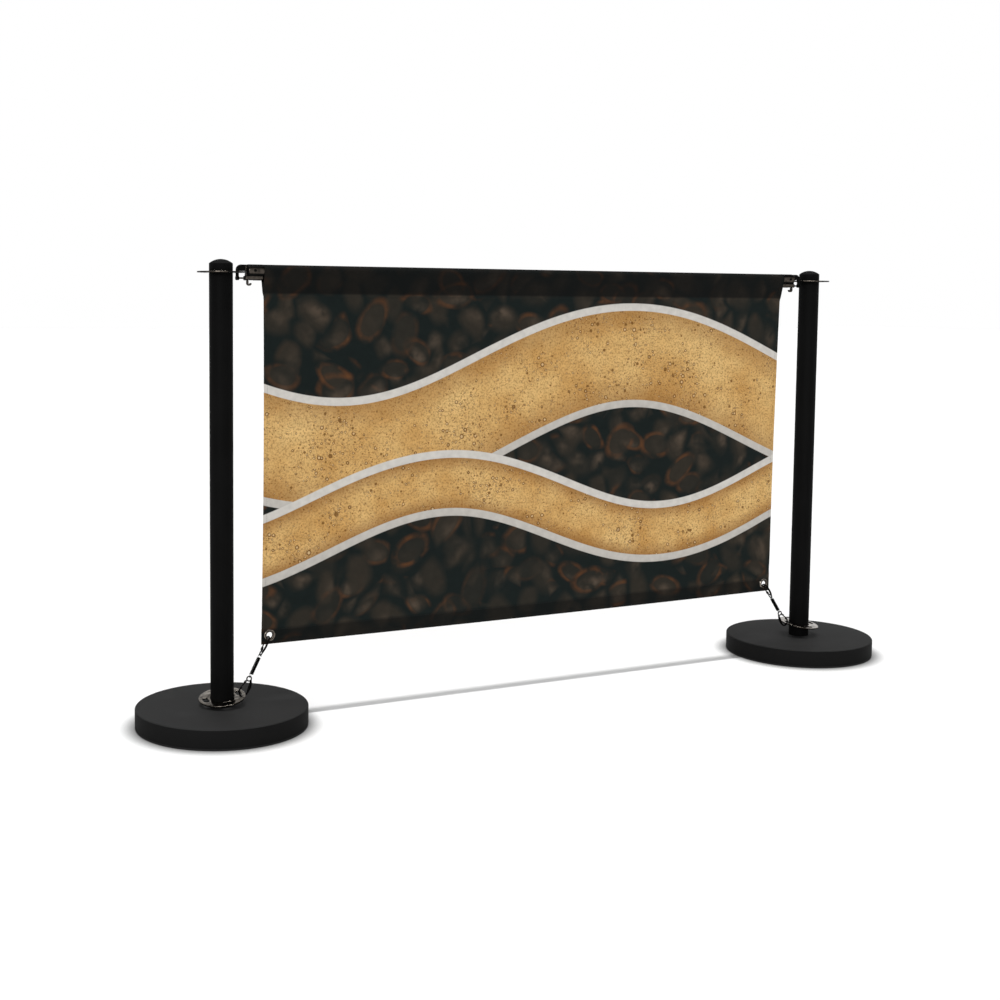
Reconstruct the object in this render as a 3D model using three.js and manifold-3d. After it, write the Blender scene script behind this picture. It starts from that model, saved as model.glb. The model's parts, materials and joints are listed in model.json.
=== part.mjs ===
// Cafe barrier: two weighted posts, a rail with spring-latched end hooks, and a banner that hangs
// from the rail and is pulled tight at its lower corners by two sprung straps.
// Millimetres, +Z up. The origin is on the floor, midway between the posts; +Y points away from
// the viewer. Each half is drawn from its own post axis, with +X towards the banner, and the right
// half is the left one mirrored.

import * as THREE from 'three';
import { mergeVertices } from 'three/addons/utils/BufferGeometryUtils.js';
import Module from 'manifold-3d';

const wasm = await Module();
wasm.setup();

// Layout
const postSpacing = 1592;
const topRingHeight = 968;
const seatGap = 0.3;
const overrun = 1;

// Weighted base
const baseRadius = 185;
const baseHeight = 44;
const coverWall = 1.5;
const coverCornerRadius = 3.5;
const footThickness = 4;
const footInset = 1.2;
const footHoleRadius = 26;
const weightChamfer = 2;
const recessRadius = 20;
const recessDepth = 14;

// Bolt that holds the post to the base
const boltRadius = 6;
const boltHeadRadius = 10.5;
const boltHeadHeight = 8;
const washerRadius = 15;
const washerThickness = 2.5;

// Post
const postRadius = 25;
const postWall = 2;
const footInsertHeight = 20;
const topInsertHeight = 14;

// Domed cap and its stud
const capSkirt = 16.2;
const domeRise = 9;
const spigotRadius = 17.7;
const studRadius = 5;
const studDepthInCap = 14;
const studDepthInInsert = 12;

// Ring plates, with four kidney-shaped holes for hooks
const ringRadius = 50;
const ringThickness = 3;
const ringHoleCount = 4;
const ringHoleCircle = 37;
const ringHoleWidth = 12;
const ringHoleHalfSpan = THREE.MathUtils.degToRad(9.2);
const lowerRingBore = 26.3;
const lowerRingTiltToBanner = THREE.MathUtils.degToRad(6.2);
const lowerRingTiltToBack = THREE.MathUtils.degToRad(6.8);

// Rail
const railRadius = 11;
const railWall = 1.5;
const railAboveRing = 4;
const railEndInset = 62;

// End hook: a sleeve on the rail, a latch housing below it and a claw in front
const sleeveWall = 2;
const hookToBanner = 1.5;
const noseFace = 54.6;
const noseFaceRadius = 6;
const noseLength = 6.4;
const latchDrop = 12.2;
const housingRadius = 4.8;
const housingBoreRadius = 3.2;
const housingFrontWall = 3.4;
const lipClearance = 0.6;
const clawRadius = 3.6;
const pinOffset = 36;
const clawRise = 12.75;
const clawTopBend = 8;
const clawKnobRadius = 4.6;
const clawKnobChamfer = 0.8;
const gussetThickness = 7;
const gussetAboveRing = 1;

// Spring latch in the hook
const latchRadius = 1.8;
const latchCollarRadius = 2.9;
const latchCollarLength = 5;
const latchCollarStart = 56;
const latchTravel = 11;
const neckWidth = 3.4;
const neckPinRadius = 1.2;
const leverOuterRadius = 5.2;
const leverThickness = 3.4;
const leverWidth = 7;
const leverDrop = 10.8;
const leverEndAngle = THREE.MathUtils.degToRad(-18);
const plugLength = 3;
const latchSpringWire = 0.8;
const latchSpringRadius = 2.3;
const latchSpringTurns = 6;

// Screw that fixes the hook to the rail
const screwPlace = 72;
const screwRadius = 2;
const screwHeadRadius = 3.2;
const screwHeadHeight = 1.8;
const screwLength = 8;

// Banner
const bannerInset = 94;
const bannerFabric = 1;
const pocketDepth = 51;
const bannerBottom = 168;
const bannerBottomRise = 4;
const bannerShiftLeft = -4;
const bannerShiftRight = -10;
const bottomHem = 34;
const bannerWave = 2.5;
const bannerWaveCount = 3;

// Eyelets in the lower corners
const eyeletInset = 18;
const eyeletRadius = 12.7;
const eyeletHole = 7;
const eyeletBarrelWall = 0.5;
const eyeletFlange = 1;
const eyeletCrown = 1.4;

// Snap hooks at both ends of a strap, drawn flat: length along X, gate towards +Y
const snapWire = 2;
const snapBow = 9.5;
const snapNose = 3.8;
const snapSpine = 14;
const snapSpineSwell = 2.2;
const snapEyePlace = 29;
const snapEyeRadius = 5.2;
const snapEyeWire = 1.4;
const gateHingeAlong = 21.4;
const gateHingeAcross = 4.6;
const gateWire = 1.5;
const gateTongue = 1.2;
const gateTongueOverlap = 1.2;
const lugThickness = 1.8;
const lugRadius = 1.9;
const cheekThickness = 1;
const rivetRadius = 0.8;
const rivetHeadRadius = 1.6;
const rivetHeadThickness = 0.6;

// Tension spring between the snap hooks
const strapSpringWire = 0.65;
const strapSpringRadius = 3.7;
const strapSpringTurns = 16;
const strapLoopRadius = 3.4;
const strapLoopRise = 1;
const strapLoopAngle = THREE.MathUtils.degToRad(300);

// What differs between the two sides: how far above the base a strap holds its lower ring
const sides = [
  { name: 'left', sign: 1, lowerRingLift: 16, bannerShift: bannerShiftLeft, bannerRise: 0 },
  {
    name: 'right',
    sign: -1,
    lowerRingLift: 30,
    bannerShift: bannerShiftRight,
    bannerRise: bannerBottomRise,
  },
];

// Facets
const baseSteps = 40;
const weightSteps = baseSteps / 2;
const ringSteps = 40;
const roundSteps = 24;
const smallSteps = 16;
const tinySteps = 10;
const bendSteps = 4;
const wireSteps = 16;
const eyeSteps = 12;
const bannerSteps = 12;
const pocketSteps = 8;
const wireSides = 6;
const hexSides = 6;
const springSides = 5;
const springStepsPerTurn = 8;
const coilPointsPerTurn = 12;
const cornerSteps = 3;
const domeSteps = 4;
const noseSteps = 4;
const bowSteps = 10;
const spineSteps = 5;
const curlSteps = 8;
const dropSteps = 4;

// Places worked out from the sizes above
const holeRadius = ringHoleWidth / 2;
const ringWebCentre = (ringHoleCircle + holeRadius + ringRadius) / 2;
const ringWebWidth = ringRadius - ringHoleCircle - holeRadius;
const tubeTop = topRingHeight - ringThickness / 2 - seatGap;
const capBottom = topRingHeight + ringThickness / 2 + seatGap;
const postBore = postRadius - postWall;
const railHeight = topRingHeight + railAboveRing;
const bannerWidth = postSpacing - 2 * bannerInset;
const sleeveEnd = bannerInset - hookToBanner;
const sleeveBore = railRadius + seatGap;
const sleeveRadius = railRadius + sleeveWall;
const latchHeight = topRingHeight - latchDrop;
const lipPlace = ringRadius + lipClearance;
const latchTip = pinOffset + clawRadius;
const springStart = latchCollarStart + latchCollarLength + seatGap;
const plugStart = sleeveEnd - plugLength - seatGap;
const yAxis = new THREE.Vector3(0, 1, 0);
const zAxis = new THREE.Vector3(0, 0, 1);

// Finishes
const finishes = {
  powderCoat: { color: 0x101011, roughness: 0.5, metalness: 0 },
  baseCoat: { color: 0x151516, roughness: 0.75, metalness: 0 },
  rubber: { color: 0x0c0c0c, roughness: 0.9, metalness: 0 },
  concrete: { color: 0x8d8a84, roughness: 0.95, metalness: 0 },
  zinc: { color: 0xb4b6b8, roughness: 0.4, metalness: 1 },
  chrome: { color: 0xd6d8da, roughness: 0.12, metalness: 1 },
  gunmetal: { color: 0x55524e, roughness: 0.28, metalness: 1 },
  springSteel: { color: 0x26262a, roughness: 0.35, metalness: 1 },
  fabric: { color: 0x2b2019, roughness: 0.8, metalness: 0 },
};

// A closed geometry as a manifold-3d solid, turned so that its faces point outwards.
function solid(geometry) {
  const bare = geometry.clone();
  for (const extra of ['normal', 'uv', 'uv1', 'tangent', 'color']) bare.deleteAttribute(extra);
  const merged = mergeVertices(bare);
  const positions = merged.attributes.position.array;
  const triangles = new Uint32Array(merged.index.array);
  const vertexAt = (i) => new THREE.Vector3().fromArray(positions, 3 * triangles[i]);
  let volume = 0;
  for (let i = 0; i < triangles.length; i += 3) {
    volume += vertexAt(i).dot(vertexAt(i + 1).cross(vertexAt(i + 2)));
  }
  if (volume < 0) {
    for (let i = 0; i < triangles.length; i += 3) {
      [triangles[i + 1], triangles[i + 2]] = [triangles[i + 2], triangles[i + 1]];
    }
  }
  const mesh = new wasm.Mesh({ numProp: 3, vertProperties: positions, triVerts: triangles });
  return new wasm.Manifold(mesh);
}

// A manifold-3d solid back as a three.js geometry.
function geometryOf(made) {
  const mesh = made.getMesh();
  const positions = new Float32Array(3 * mesh.numVert);
  for (let i = 0; i < mesh.numVert; i += 1) {
    positions.set(mesh.vertProperties.subarray(i * mesh.numProp, i * mesh.numProp + 3), 3 * i);
  }
  const geometry = new THREE.BufferGeometry();
  geometry.setAttribute('position', new THREE.BufferAttribute(positions, 3));
  geometry.setIndex(new THREE.BufferAttribute(mesh.triVerts, 1));
  geometry.computeVertexNormals();
  return geometry;
}

function join(...geometries) {
  return geometryOf(geometries.map(solid).reduce((all, next) => all.add(next)));
}

function cut(geometry, ...tools) {
  return geometryOf(tools.map(solid).reduce((rest, tool) => rest.subtract(tool), solid(geometry)));
}

// Points of an arc in a plane, both ends included.
function arc(x, y, radius, from, to, steps) {
  return Array.from({ length: steps + 1 }, (_, i) => {
    const angle = from + ((to - from) * i) / steps;
    return new THREE.Vector2(x + radius * Math.cos(angle), y + radius * Math.sin(angle));
  });
}

function point(x, y) {
  return new THREE.Vector2(x, y);
}

// A profile of [radius, height] points turned round the Z axis.
function turnedUpright(profile, steps) {
  return new THREE.LatheGeometry(profile, steps).rotateX(Math.PI / 2);
}

// A profile of [radius, distance along X] points turned round a level axis at the given height.
function turnedLevel(profile, steps, height) {
  return new THREE.LatheGeometry(profile, steps).rotateZ(-Math.PI / 2).translate(0, 0, height);
}

// A round rod between two points.
function rod(from, to, radius, steps) {
  const along = new THREE.Vector3().subVectors(to, from);
  const turn = new THREE.Quaternion().setFromUnitVectors(yAxis, along.clone().normalize());
  const middle = new THREE.Vector3().addVectors(from, to).multiplyScalar(1 / 2);
  return new THREE.CylinderGeometry(radius, radius, along.length(), steps)
    .applyQuaternion(turn)
    .translate(middle.x, middle.y, middle.z);
}

// A box between two corners.
function block(low, high) {
  const size = new THREE.Vector3().subVectors(high, low);
  const middle = new THREE.Vector3().addVectors(low, high).multiplyScalar(1 / 2);
  return new THREE.BoxGeometry(size.x, size.y, size.z).translate(middle.x, middle.y, middle.z);
}

// An outline in X and Y, as thick as given, centred on the plane Z = 0.
function plate(outline, thickness, holes = []) {
  const shape = new THREE.Shape(outline);
  shape.holes = holes.map((hole) => new THREE.Path(hole));
  return new THREE.ExtrudeGeometry(shape, { depth: thickness, bevelEnabled: false })
    .translate(0, 0, -thickness / 2);
}

// The same with the outline in X and Z, centred on the plane Y = 0.
function uprightPlate(outline, thickness) {
  return plate(outline, thickness).rotateX(Math.PI / 2);
}

// A round wire along a curve through the given points.
function wire(points, radius, facets, steps) {
  const curve = new THREE.CatmullRomCurve3(points, false, 'centripetal');
  const section = new THREE.Shape(arc(0, 0, radius, 0, 2 * Math.PI, facets).slice(1));
  return new THREE.ExtrudeGeometry(section, { steps, bevelEnabled: false, extrudePath: curve });
}

function piece(name, geometry, finish) {
  const mesh = new THREE.Mesh(geometry, new THREE.MeshStandardMaterial(finish));
  mesh.name = name;
  return mesh;
}

// The least gap between two stretches of a wire that aren't next to each other.
function leastGap(points, radius, apart) {
  const curve = new THREE.CatmullRomCurve3(points, false, 'centripetal');
  const length = curve.getLength();
  const count = Math.ceil(length / (radius / 2));
  const places = curve.getSpacedPoints(count);
  const skip = Math.ceil((apart / length) * count);
  let least = Infinity;
  for (let i = 0; i < places.length; i += 1) {
    for (let j = i + skip; j < places.length; j += 1) {
      least = Math.min(least, places[i].distanceTo(places[j]));
    }
  }
  return least - 2 * radius;
}

// Base: a rubber foot, a concrete weight and a spun cover over it
function footGeometry() {
  const outer = baseRadius - footInset;
  return turnedUpright(
    [
      point(footHoleRadius, 0),
      point(outer, 0),
      point(outer, footThickness),
      point(footHoleRadius, footThickness),
      point(footHoleRadius, 0),
    ],
    baseSteps,
  );
}

function weightGeometry() {
  const outer = baseRadius - coverWall - seatGap;
  const bottom = footThickness + seatGap;
  const top = baseHeight - coverWall - seatGap;
  const bore = boltRadius + seatGap;
  const chamfer = weightChamfer + coverCornerRadius;
  return turnedUpright(
    [
      point(recessRadius, bottom),
      point(outer, bottom),
      point(outer, top - chamfer),
      point(outer - chamfer, top),
      point(bore, top),
      point(bore, bottom + recessDepth),
      point(recessRadius, bottom + recessDepth),
      point(recessRadius, bottom),
    ],
    weightSteps,
  );
}

function coverGeometry() {
  const bottom = footThickness + seatGap;
  const bore = boltRadius + seatGap;
  const inner = coverCornerRadius - coverWall;
  const turnX = baseRadius - coverCornerRadius;
  const turnY = baseHeight - coverCornerRadius;
  return turnedUpright(
    [
      point(baseRadius - coverWall, bottom),
      point(baseRadius, bottom),
      ...arc(turnX, turnY, coverCornerRadius, 0, Math.PI / 2, cornerSteps),
      point(bore, baseHeight),
      point(bore, baseHeight - coverWall),
      ...arc(turnX, turnY, inner, Math.PI / 2, 0, 1),
      point(baseRadius - coverWall, bottom),
    ],
    baseSteps,
  );
}

function washerGeometry() {
  const top = footThickness + recessDepth;
  const bore = boltRadius + seatGap;
  return turnedUpright(
    [
      point(bore, top - washerThickness),
      point(washerRadius, top - washerThickness),
      point(washerRadius, top),
      point(bore, top),
      point(bore, top - washerThickness),
    ],
    smallSteps,
  );
}

function boltGeometry() {
  const headTop = footThickness + recessDepth - washerThickness - seatGap;
  const tip = baseHeight + footInsertHeight;
  const head = new THREE.CylinderGeometry(boltHeadRadius, boltHeadRadius, boltHeadHeight, hexSides)
    .rotateX(Math.PI / 2)
    .translate(0, 0, headTop - boltHeadHeight / 2);
  const shank = rod(
    new THREE.Vector3(0, 0, headTop - boltHeadHeight / 2),
    new THREE.Vector3(0, 0, tip),
    boltRadius,
    smallSteps,
  );
  return join(head, shank);
}

// Post: a tube with a threaded plug at each end
function tubeGeometry() {
  const bottom = baseHeight + seatGap;
  return turnedUpright(
    [
      point(postBore, bottom),
      point(postRadius, bottom),
      point(postRadius, tubeTop),
      point(postBore, tubeTop),
      point(postBore, bottom),
    ],
    roundSteps,
  );
}

function insertGeometry(bottom, top, bore) {
  const outer = postBore - seatGap;
  return turnedUpright(
    [
      point(bore, bottom),
      point(outer, bottom),
      point(outer, top),
      point(bore, top),
      point(bore, bottom),
    ],
    smallSteps,
  );
}

// The domed cap clamps the top ring plate: its spigot passes through the plate.
function capGeometry() {
  const shoulder = capBottom + capSkirt;
  const sphere = (postRadius ** 2 + domeRise ** 2) / (2 * domeRise);
  const rimAngle = Math.acos(postRadius / sphere);
  const bore = studRadius + seatGap;
  const spigotBottom = topRingHeight - ringThickness / 2;
  const boreTop = capBottom + studDepthInCap + seatGap;
  const dome = arc(0, shoulder + domeRise - sphere, sphere, rimAngle, Math.PI / 2, domeSteps);
  dome[dome.length - 1].x = 0;
  return turnedUpright(
    [
      point(0, boreTop),
      point(bore, boreTop),
      point(bore, spigotBottom),
      point(spigotRadius, spigotBottom),
      point(spigotRadius, capBottom),
      point(postRadius, capBottom),
      ...dome,
    ],
    roundSteps,
  );
}

function studGeometry() {
  return rod(
    new THREE.Vector3(0, 0, tubeTop - studDepthInInsert),
    new THREE.Vector3(0, 0, capBottom + studDepthInCap),
    studRadius,
    tinySteps,
  );
}

// Ring plate: flat, round, with kidney-shaped holes that follow its rim
function kidneyHole(middle) {
  const from = middle - ringHoleHalfSpan;
  const to = middle + ringHoleHalfSpan;
  const end = (angle, turnFrom) =>
    arc(
      ringHoleCircle * Math.cos(angle),
      ringHoleCircle * Math.sin(angle),
      holeRadius,
      angle + turnFrom,
      angle + turnFrom + Math.PI,
      bendSteps,
    );
  return [
    ...arc(0, 0, ringHoleCircle + holeRadius, from, to, cornerSteps).slice(1, -1),
    ...end(to, 0),
    ...arc(0, 0, ringHoleCircle - holeRadius, to, from, cornerSteps).slice(1, -1),
    ...end(from, Math.PI),
  ];
}

function ringPlateGeometry(bore) {
  const holes = Array.from({ length: ringHoleCount }, (_, i) =>
    kidneyHole((2 * Math.PI * i) / ringHoleCount),
  );
  holes.push(arc(0, 0, bore, 0, 2 * Math.PI, roundSteps).slice(1));
  return plate(arc(0, 0, ringRadius, 0, 2 * Math.PI, ringSteps).slice(1), ringThickness, holes);
}

// End hook, one casting: sleeve, latch housing, web, claw and gusset
function hookGeometry() {
  const sleeve = turnedLevel(
    [
      point(0, noseFace),
      point(noseFaceRadius, noseFace),
      ...noseProfile(),
      point(sleeveRadius, sleeveEnd),
      point(sleeveBore, sleeveEnd),
      point(sleeveBore, railEndInset - seatGap),
      point(0, railEndInset - seatGap),
    ],
    roundSteps,
    railHeight,
  );
  const housing = rod(
    new THREE.Vector3(lipPlace, 0, latchHeight),
    new THREE.Vector3(sleeveEnd, 0, latchHeight),
    housingRadius,
    smallSteps,
  );
  const web = block(
    new THREE.Vector3(lipPlace + housingFrontWall, -housingRadius, latchHeight),
    new THREE.Vector3(sleeveEnd, housingRadius, railHeight - sleeveRadius / 2),
  );
  const body = join(sleeve, housing, web, clawGeometry(), gussetGeometry());
  return cut(body, ...hookBores());
}

function noseProfile() {
  return Array.from({ length: noseSteps }, (_, i) => {
    const share = (i + 1) / noseSteps;
    const swell = Math.sqrt(1 - (1 - share) ** 2);
    const radius = THREE.MathUtils.lerp(noseFaceRadius, sleeveRadius, swell);
    return point(radius, noseFace + noseLength * share);
  });
}

function clawGeometry() {
  const top = topRingHeight + clawRise;
  const flat = [
    point(railEndInset - clawRadius, top),
    ...arc(
      pinOffset + clawTopBend,
      top - clawTopBend,
      clawTopBend,
      Math.PI / 2,
      Math.PI,
      bendSteps,
    ),
    point(pinOffset, latchHeight),
  ];
  const path = flat.map((p) => new THREE.Vector3(p.x, 0, p.y));
  return join(wire(path, clawRadius, tinySteps, bowSteps), clawKnobGeometry());
}

// The claw's foot, which the latch bolt closes against.
function clawKnobGeometry() {
  const rim = clawKnobRadius - clawKnobChamfer;
  return turnedLevel(
    [
      point(0, pinOffset - clawRadius),
      point(rim, pinOffset - clawRadius),
      point(clawKnobRadius, pinOffset - clawRadius + clawKnobChamfer),
      point(clawKnobRadius, latchTip - clawKnobChamfer),
      point(rim, latchTip),
      point(0, latchTip),
    ],
    smallSteps,
    latchHeight,
  );
}

function gussetGeometry() {
  const top = topRingHeight + clawRise;
  const bottom = topRingHeight + ringThickness / 2 + gussetAboveRing;
  return uprightPlate(
    [
      point(pinOffset + clawTopBend, top),
      point(pinOffset, bottom),
      point(noseFace, bottom),
      point(noseFace + noseLength, railHeight),
      point(noseFace + noseLength, top),
    ],
    gussetThickness,
  );
}

// The hollows of the hook: rail socket, latch bore, thumb slot and screw hole
function hookBores() {
  const socket = rod(
    new THREE.Vector3(railEndInset - seatGap, 0, railHeight),
    new THREE.Vector3(sleeveEnd + overrun, 0, railHeight),
    sleeveBore,
    roundSteps,
  );
  const front = rod(
    new THREE.Vector3(lipPlace - overrun, 0, latchHeight),
    new THREE.Vector3(sleeveEnd, 0, latchHeight),
    latchRadius + seatGap,
    smallSteps,
  );
  const bore = rod(
    new THREE.Vector3(lipPlace + housingFrontWall, 0, latchHeight),
    new THREE.Vector3(sleeveEnd + overrun, 0, latchHeight),
    housingBoreRadius,
    smallSteps,
  );
  const neck = neckPlace();
  const halfSlot = neckWidth / 2 + seatGap;
  const slot = block(
    new THREE.Vector3(neck - halfSlot, -halfSlot, latchHeight - housingRadius - overrun),
    new THREE.Vector3(neck + halfSlot + latchTravel, halfSlot, latchHeight),
  );
  const screwHole = rod(
    new THREE.Vector3(screwPlace, -sleeveRadius - overrun, railHeight),
    new THREE.Vector3(screwPlace, -railRadius + railWall, railHeight),
    screwRadius + seatGap,
    tinySteps,
  );
  return [socket, front, bore, slot, screwHole];
}

function neckPlace() {
  return latchCollarStart + latchCollarLength / 2;
}

// Latch bolt: a round rod with a collar that the thumb lever is pinned in
function latchBoltGeometry() {
  const tip = latchTip + seatGap;
  const chamfer = latchRadius / 4;
  const end = latchCollarStart + latchCollarLength;
  const turned = turnedLevel(
    [
      point(0, tip),
      point(latchRadius - chamfer, tip),
      point(latchRadius, tip + chamfer),
      point(latchRadius, latchCollarStart),
      point(latchCollarRadius, latchCollarStart),
      point(latchCollarRadius, end),
      point(0, end),
    ],
    smallSteps,
    latchHeight,
  );
  const pinHole = rod(
    new THREE.Vector3(neckPlace(), 0, latchHeight - latchCollarRadius - overrun),
    new THREE.Vector3(neckPlace(), 0, latchHeight + seatGap),
    neckPinRadius + seatGap,
    tinySteps,
  );
  return cut(turned, pinHole);
}

// Thumb lever: a neck through the slot and a curl that the thumb pulls back
function thumbLeverGeometry() {
  const neck = neckPlace();
  const neckTop = latchHeight - latchCollarRadius - seatGap;
  const limbLeft = neck - neckWidth / 2;
  const curlX = limbLeft + leverOuterRadius;
  const curlZ = latchHeight - leverDrop;
  const innerRadius = leverOuterRadius - leverThickness;
  const middleRadius = leverOuterRadius - leverThickness / 2;
  const tipX = curlX + middleRadius * Math.cos(leverEndAngle);
  const tipZ = curlZ + middleRadius * Math.sin(leverEndAngle);
  const limbTop = latchHeight - housingRadius - 2 * seatGap;
  const curl = uprightPlate(
    [
      point(limbLeft, limbTop),
      ...arc(curlX, curlZ, leverOuterRadius, Math.PI, 2 * Math.PI + leverEndAngle, curlSteps),
      ...arc(
        tipX,
        tipZ,
        leverThickness / 2,
        leverEndAngle,
        leverEndAngle + Math.PI,
        bendSteps,
      ).slice(1, -1),
      ...arc(curlX, curlZ, innerRadius, 2 * Math.PI + leverEndAngle, Math.PI, curlSteps),
      point(limbLeft + leverThickness, limbTop),
    ],
    leverWidth,
  );
  const limb = block(
    new THREE.Vector3(limbLeft, -neckWidth / 2, curlZ),
    new THREE.Vector3(limbLeft + neckWidth, neckWidth / 2, neckTop),
  );
  const pin = rod(
    new THREE.Vector3(neck, 0, curlZ),
    new THREE.Vector3(neck, 0, latchHeight),
    neckPinRadius,
    tinySteps,
  );
  return join(curl, limb, pin);
}

function latchSpringGeometry() {
  const start = springStart + latchSpringWire / 2;
  const length = plugStart - seatGap - latchSpringWire / 2 - start;
  const count = latchSpringTurns * springStepsPerTurn;
  const points = Array.from({ length: count + 1 }, (_, i) => {
    const angle = (2 * Math.PI * i) / springStepsPerTurn;
    return new THREE.Vector3(
      start + (length * i) / count,
      latchSpringRadius * Math.cos(angle),
      latchHeight + latchSpringRadius * Math.sin(angle),
    );
  });
  return wire(points, latchSpringWire / 2, springSides - 1, count);
}

function springPlugGeometry() {
  return rod(
    new THREE.Vector3(plugStart, 0, latchHeight),
    new THREE.Vector3(plugStart + plugLength, 0, latchHeight),
    latchCollarRadius,
    smallSteps,
  );
}

function hookScrewGeometry() {
  const headBack = sleeveRadius + seatGap / 2;
  const head = turnedUpright(
    [
      point(0, 0),
      point(screwHeadRadius, 0),
      point(screwHeadRadius, screwHeadHeight / 2),
      point(screwHeadRadius / 2, screwHeadHeight),
      point(0, screwHeadHeight),
    ],
    smallSteps,
  )
    .rotateX(Math.PI / 2)
    .translate(screwPlace, -headBack, railHeight);
  const shank = rod(
    new THREE.Vector3(screwPlace, -headBack - screwHeadHeight / 2, railHeight),
    new THREE.Vector3(screwPlace, -headBack + screwLength, railHeight),
    screwRadius,
    tinySteps,
  );
  return join(head, shank);
}

// Rail: one round tube that both hooks are screwed to
function railGeometry() {
  const half = postSpacing / 2 - railEndInset;
  const bore = railRadius - railWall;
  const tube = turnedLevel(
    [
      point(bore, -half),
      point(railRadius, -half),
      point(railRadius, half),
      point(bore, half),
      point(bore, -half),
    ],
    roundSteps,
    railHeight,
  );
  const holes = sides.map((side) =>
    rod(
      new THREE.Vector3(side.sign * (screwPlace - postSpacing / 2), -railRadius - overrun, railHeight),
      new THREE.Vector3(side.sign * (screwPlace - postSpacing / 2), 0, railHeight),
      screwRadius + seatGap,
      tinySteps,
    ),
  );
  return cut(tube, ...holes);
}

// Banner: pocket round the rail, single sheet below it and a doubled hem at the bottom
function bannerGeometry() {
  const inner = railRadius + seatGap;
  const outer = inner + bannerFabric;
  const half = bannerFabric / 2;
  const innerApex = railHeight - pocketDepth;
  const slope = Math.asin(inner / pocketDepth);
  const seam = innerApex - bannerFabric / Math.sin(slope) + half / Math.tan(slope);
  const hemTop = bannerBottom + bottomHem;
  const drop = Array.from({ length: dropSteps }, (_, i) =>
    THREE.MathUtils.lerp(hemTop, seam, (i + 1) / (dropSteps + 1)),
  );
  const outline = [
    point(-bannerFabric, bannerBottom),
    point(bannerFabric, bannerBottom),
    point(bannerFabric, hemTop),
    point(half, hemTop + half),
    ...drop.map((z) => point(half, z)),
    point(half, seam),
    ...arc(0, railHeight, outer, -slope, Math.PI + slope, pocketSteps),
    point(-half, seam),
    ...drop.map((z) => point(-half, z)).reverse(),
    point(-half, hemTop + half),
    point(-bannerFabric, hemTop),
  ];
  const pocket = arc(0, railHeight, inner, -slope, Math.PI + slope, pocketSteps);
  pocket.push(point(0, innerApex));
  const shape = new THREE.Shape(outline);
  shape.holes = [new THREE.Path(pocket)];
  const along = { depth: bannerWidth, steps: bannerSteps, bevelEnabled: false };
  const sheet = new THREE.ExtrudeGeometry(shape, along)
    .translate(0, 0, -bannerWidth / 2)
    .rotateY(Math.PI / 2)
    .rotateX(Math.PI / 2);
  hang(sheet, seam, hemTop);
  const holes = sides.map((side) => {
    const place = eyeletPlace(side);
    const x = side.sign * (place.x - postSpacing / 2);
    return rod(
      new THREE.Vector3(x, -bannerFabric - overrun, place.z),
      new THREE.Vector3(x, bannerFabric + overrun, place.z),
      eyeletHole + eyeletBarrelWall + seatGap,
      smallSteps,
    );
  });
  return cut(sheet, ...holes);
}

// Lets the sheet hang: its lower corners are drawn aside, and it waves gently below the pocket.
function hang(sheet, seam, hemTop) {
  const position = sheet.attributes.position;
  for (let i = 0; i < position.count; i += 1) {
    const x = position.getX(i);
    const z = position.getZ(i);
    const down = THREE.MathUtils.clamp((seam - z) / (seam - bannerBottom), 0, 1);
    const across = x / bannerWidth + 1 / 2;
    const free = THREE.MathUtils.clamp((z - hemTop) / (seam - hemTop), 0, 1) * down;
    const wave = Math.sin(2 * Math.PI * bannerWaveCount * across) * Math.sin(Math.PI * free);
    position.setX(i, x + down * THREE.MathUtils.lerp(bannerShiftLeft, bannerShiftRight, across));
    position.setY(i, position.getY(i) + bannerWave * wave);
    position.setZ(i, z + down * bannerBottomRise * across);
  }
}

// Where an eyelet's centre lies in its half: X from the post axis, Z above the floor
function eyeletPlace(side) {
  const edge = postSpacing / 2 - bannerWidth / 2 + side.sign * side.bannerShift;
  const height = bannerBottom + side.bannerRise + eyeletInset - bannerFabric;
  return new THREE.Vector3(edge + eyeletInset, 0, height);
}

function eyeletGeometry() {
  const face = bannerFabric + seatGap;
  const barrel = eyeletHole + eyeletBarrelWall;
  return new THREE.LatheGeometry(
    [
      point(eyeletHole, -face - eyeletFlange),
      point((eyeletRadius + eyeletHole) / 2, -face - eyeletCrown),
      point(eyeletRadius, -face - eyeletFlange / 2),
      point(eyeletRadius, -face),
      point(barrel, -face),
      point(barrel, face + eyeletFlange),
      point(eyeletHole, face + eyeletFlange),
      point(eyeletHole, -face - eyeletFlange),
    ],
    smallSteps,
  );
}

function eyeletWasherGeometry() {
  const face = bannerFabric + seatGap;
  const bore = eyeletHole + eyeletBarrelWall + seatGap;
  return new THREE.LatheGeometry(
    [
      point(bore, face),
      point(eyeletRadius, face),
      point(eyeletRadius, face + eyeletFlange / 2),
      point(bore, face + eyeletFlange),
      point(bore, face),
    ],
    smallSteps,
  );
}

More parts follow.
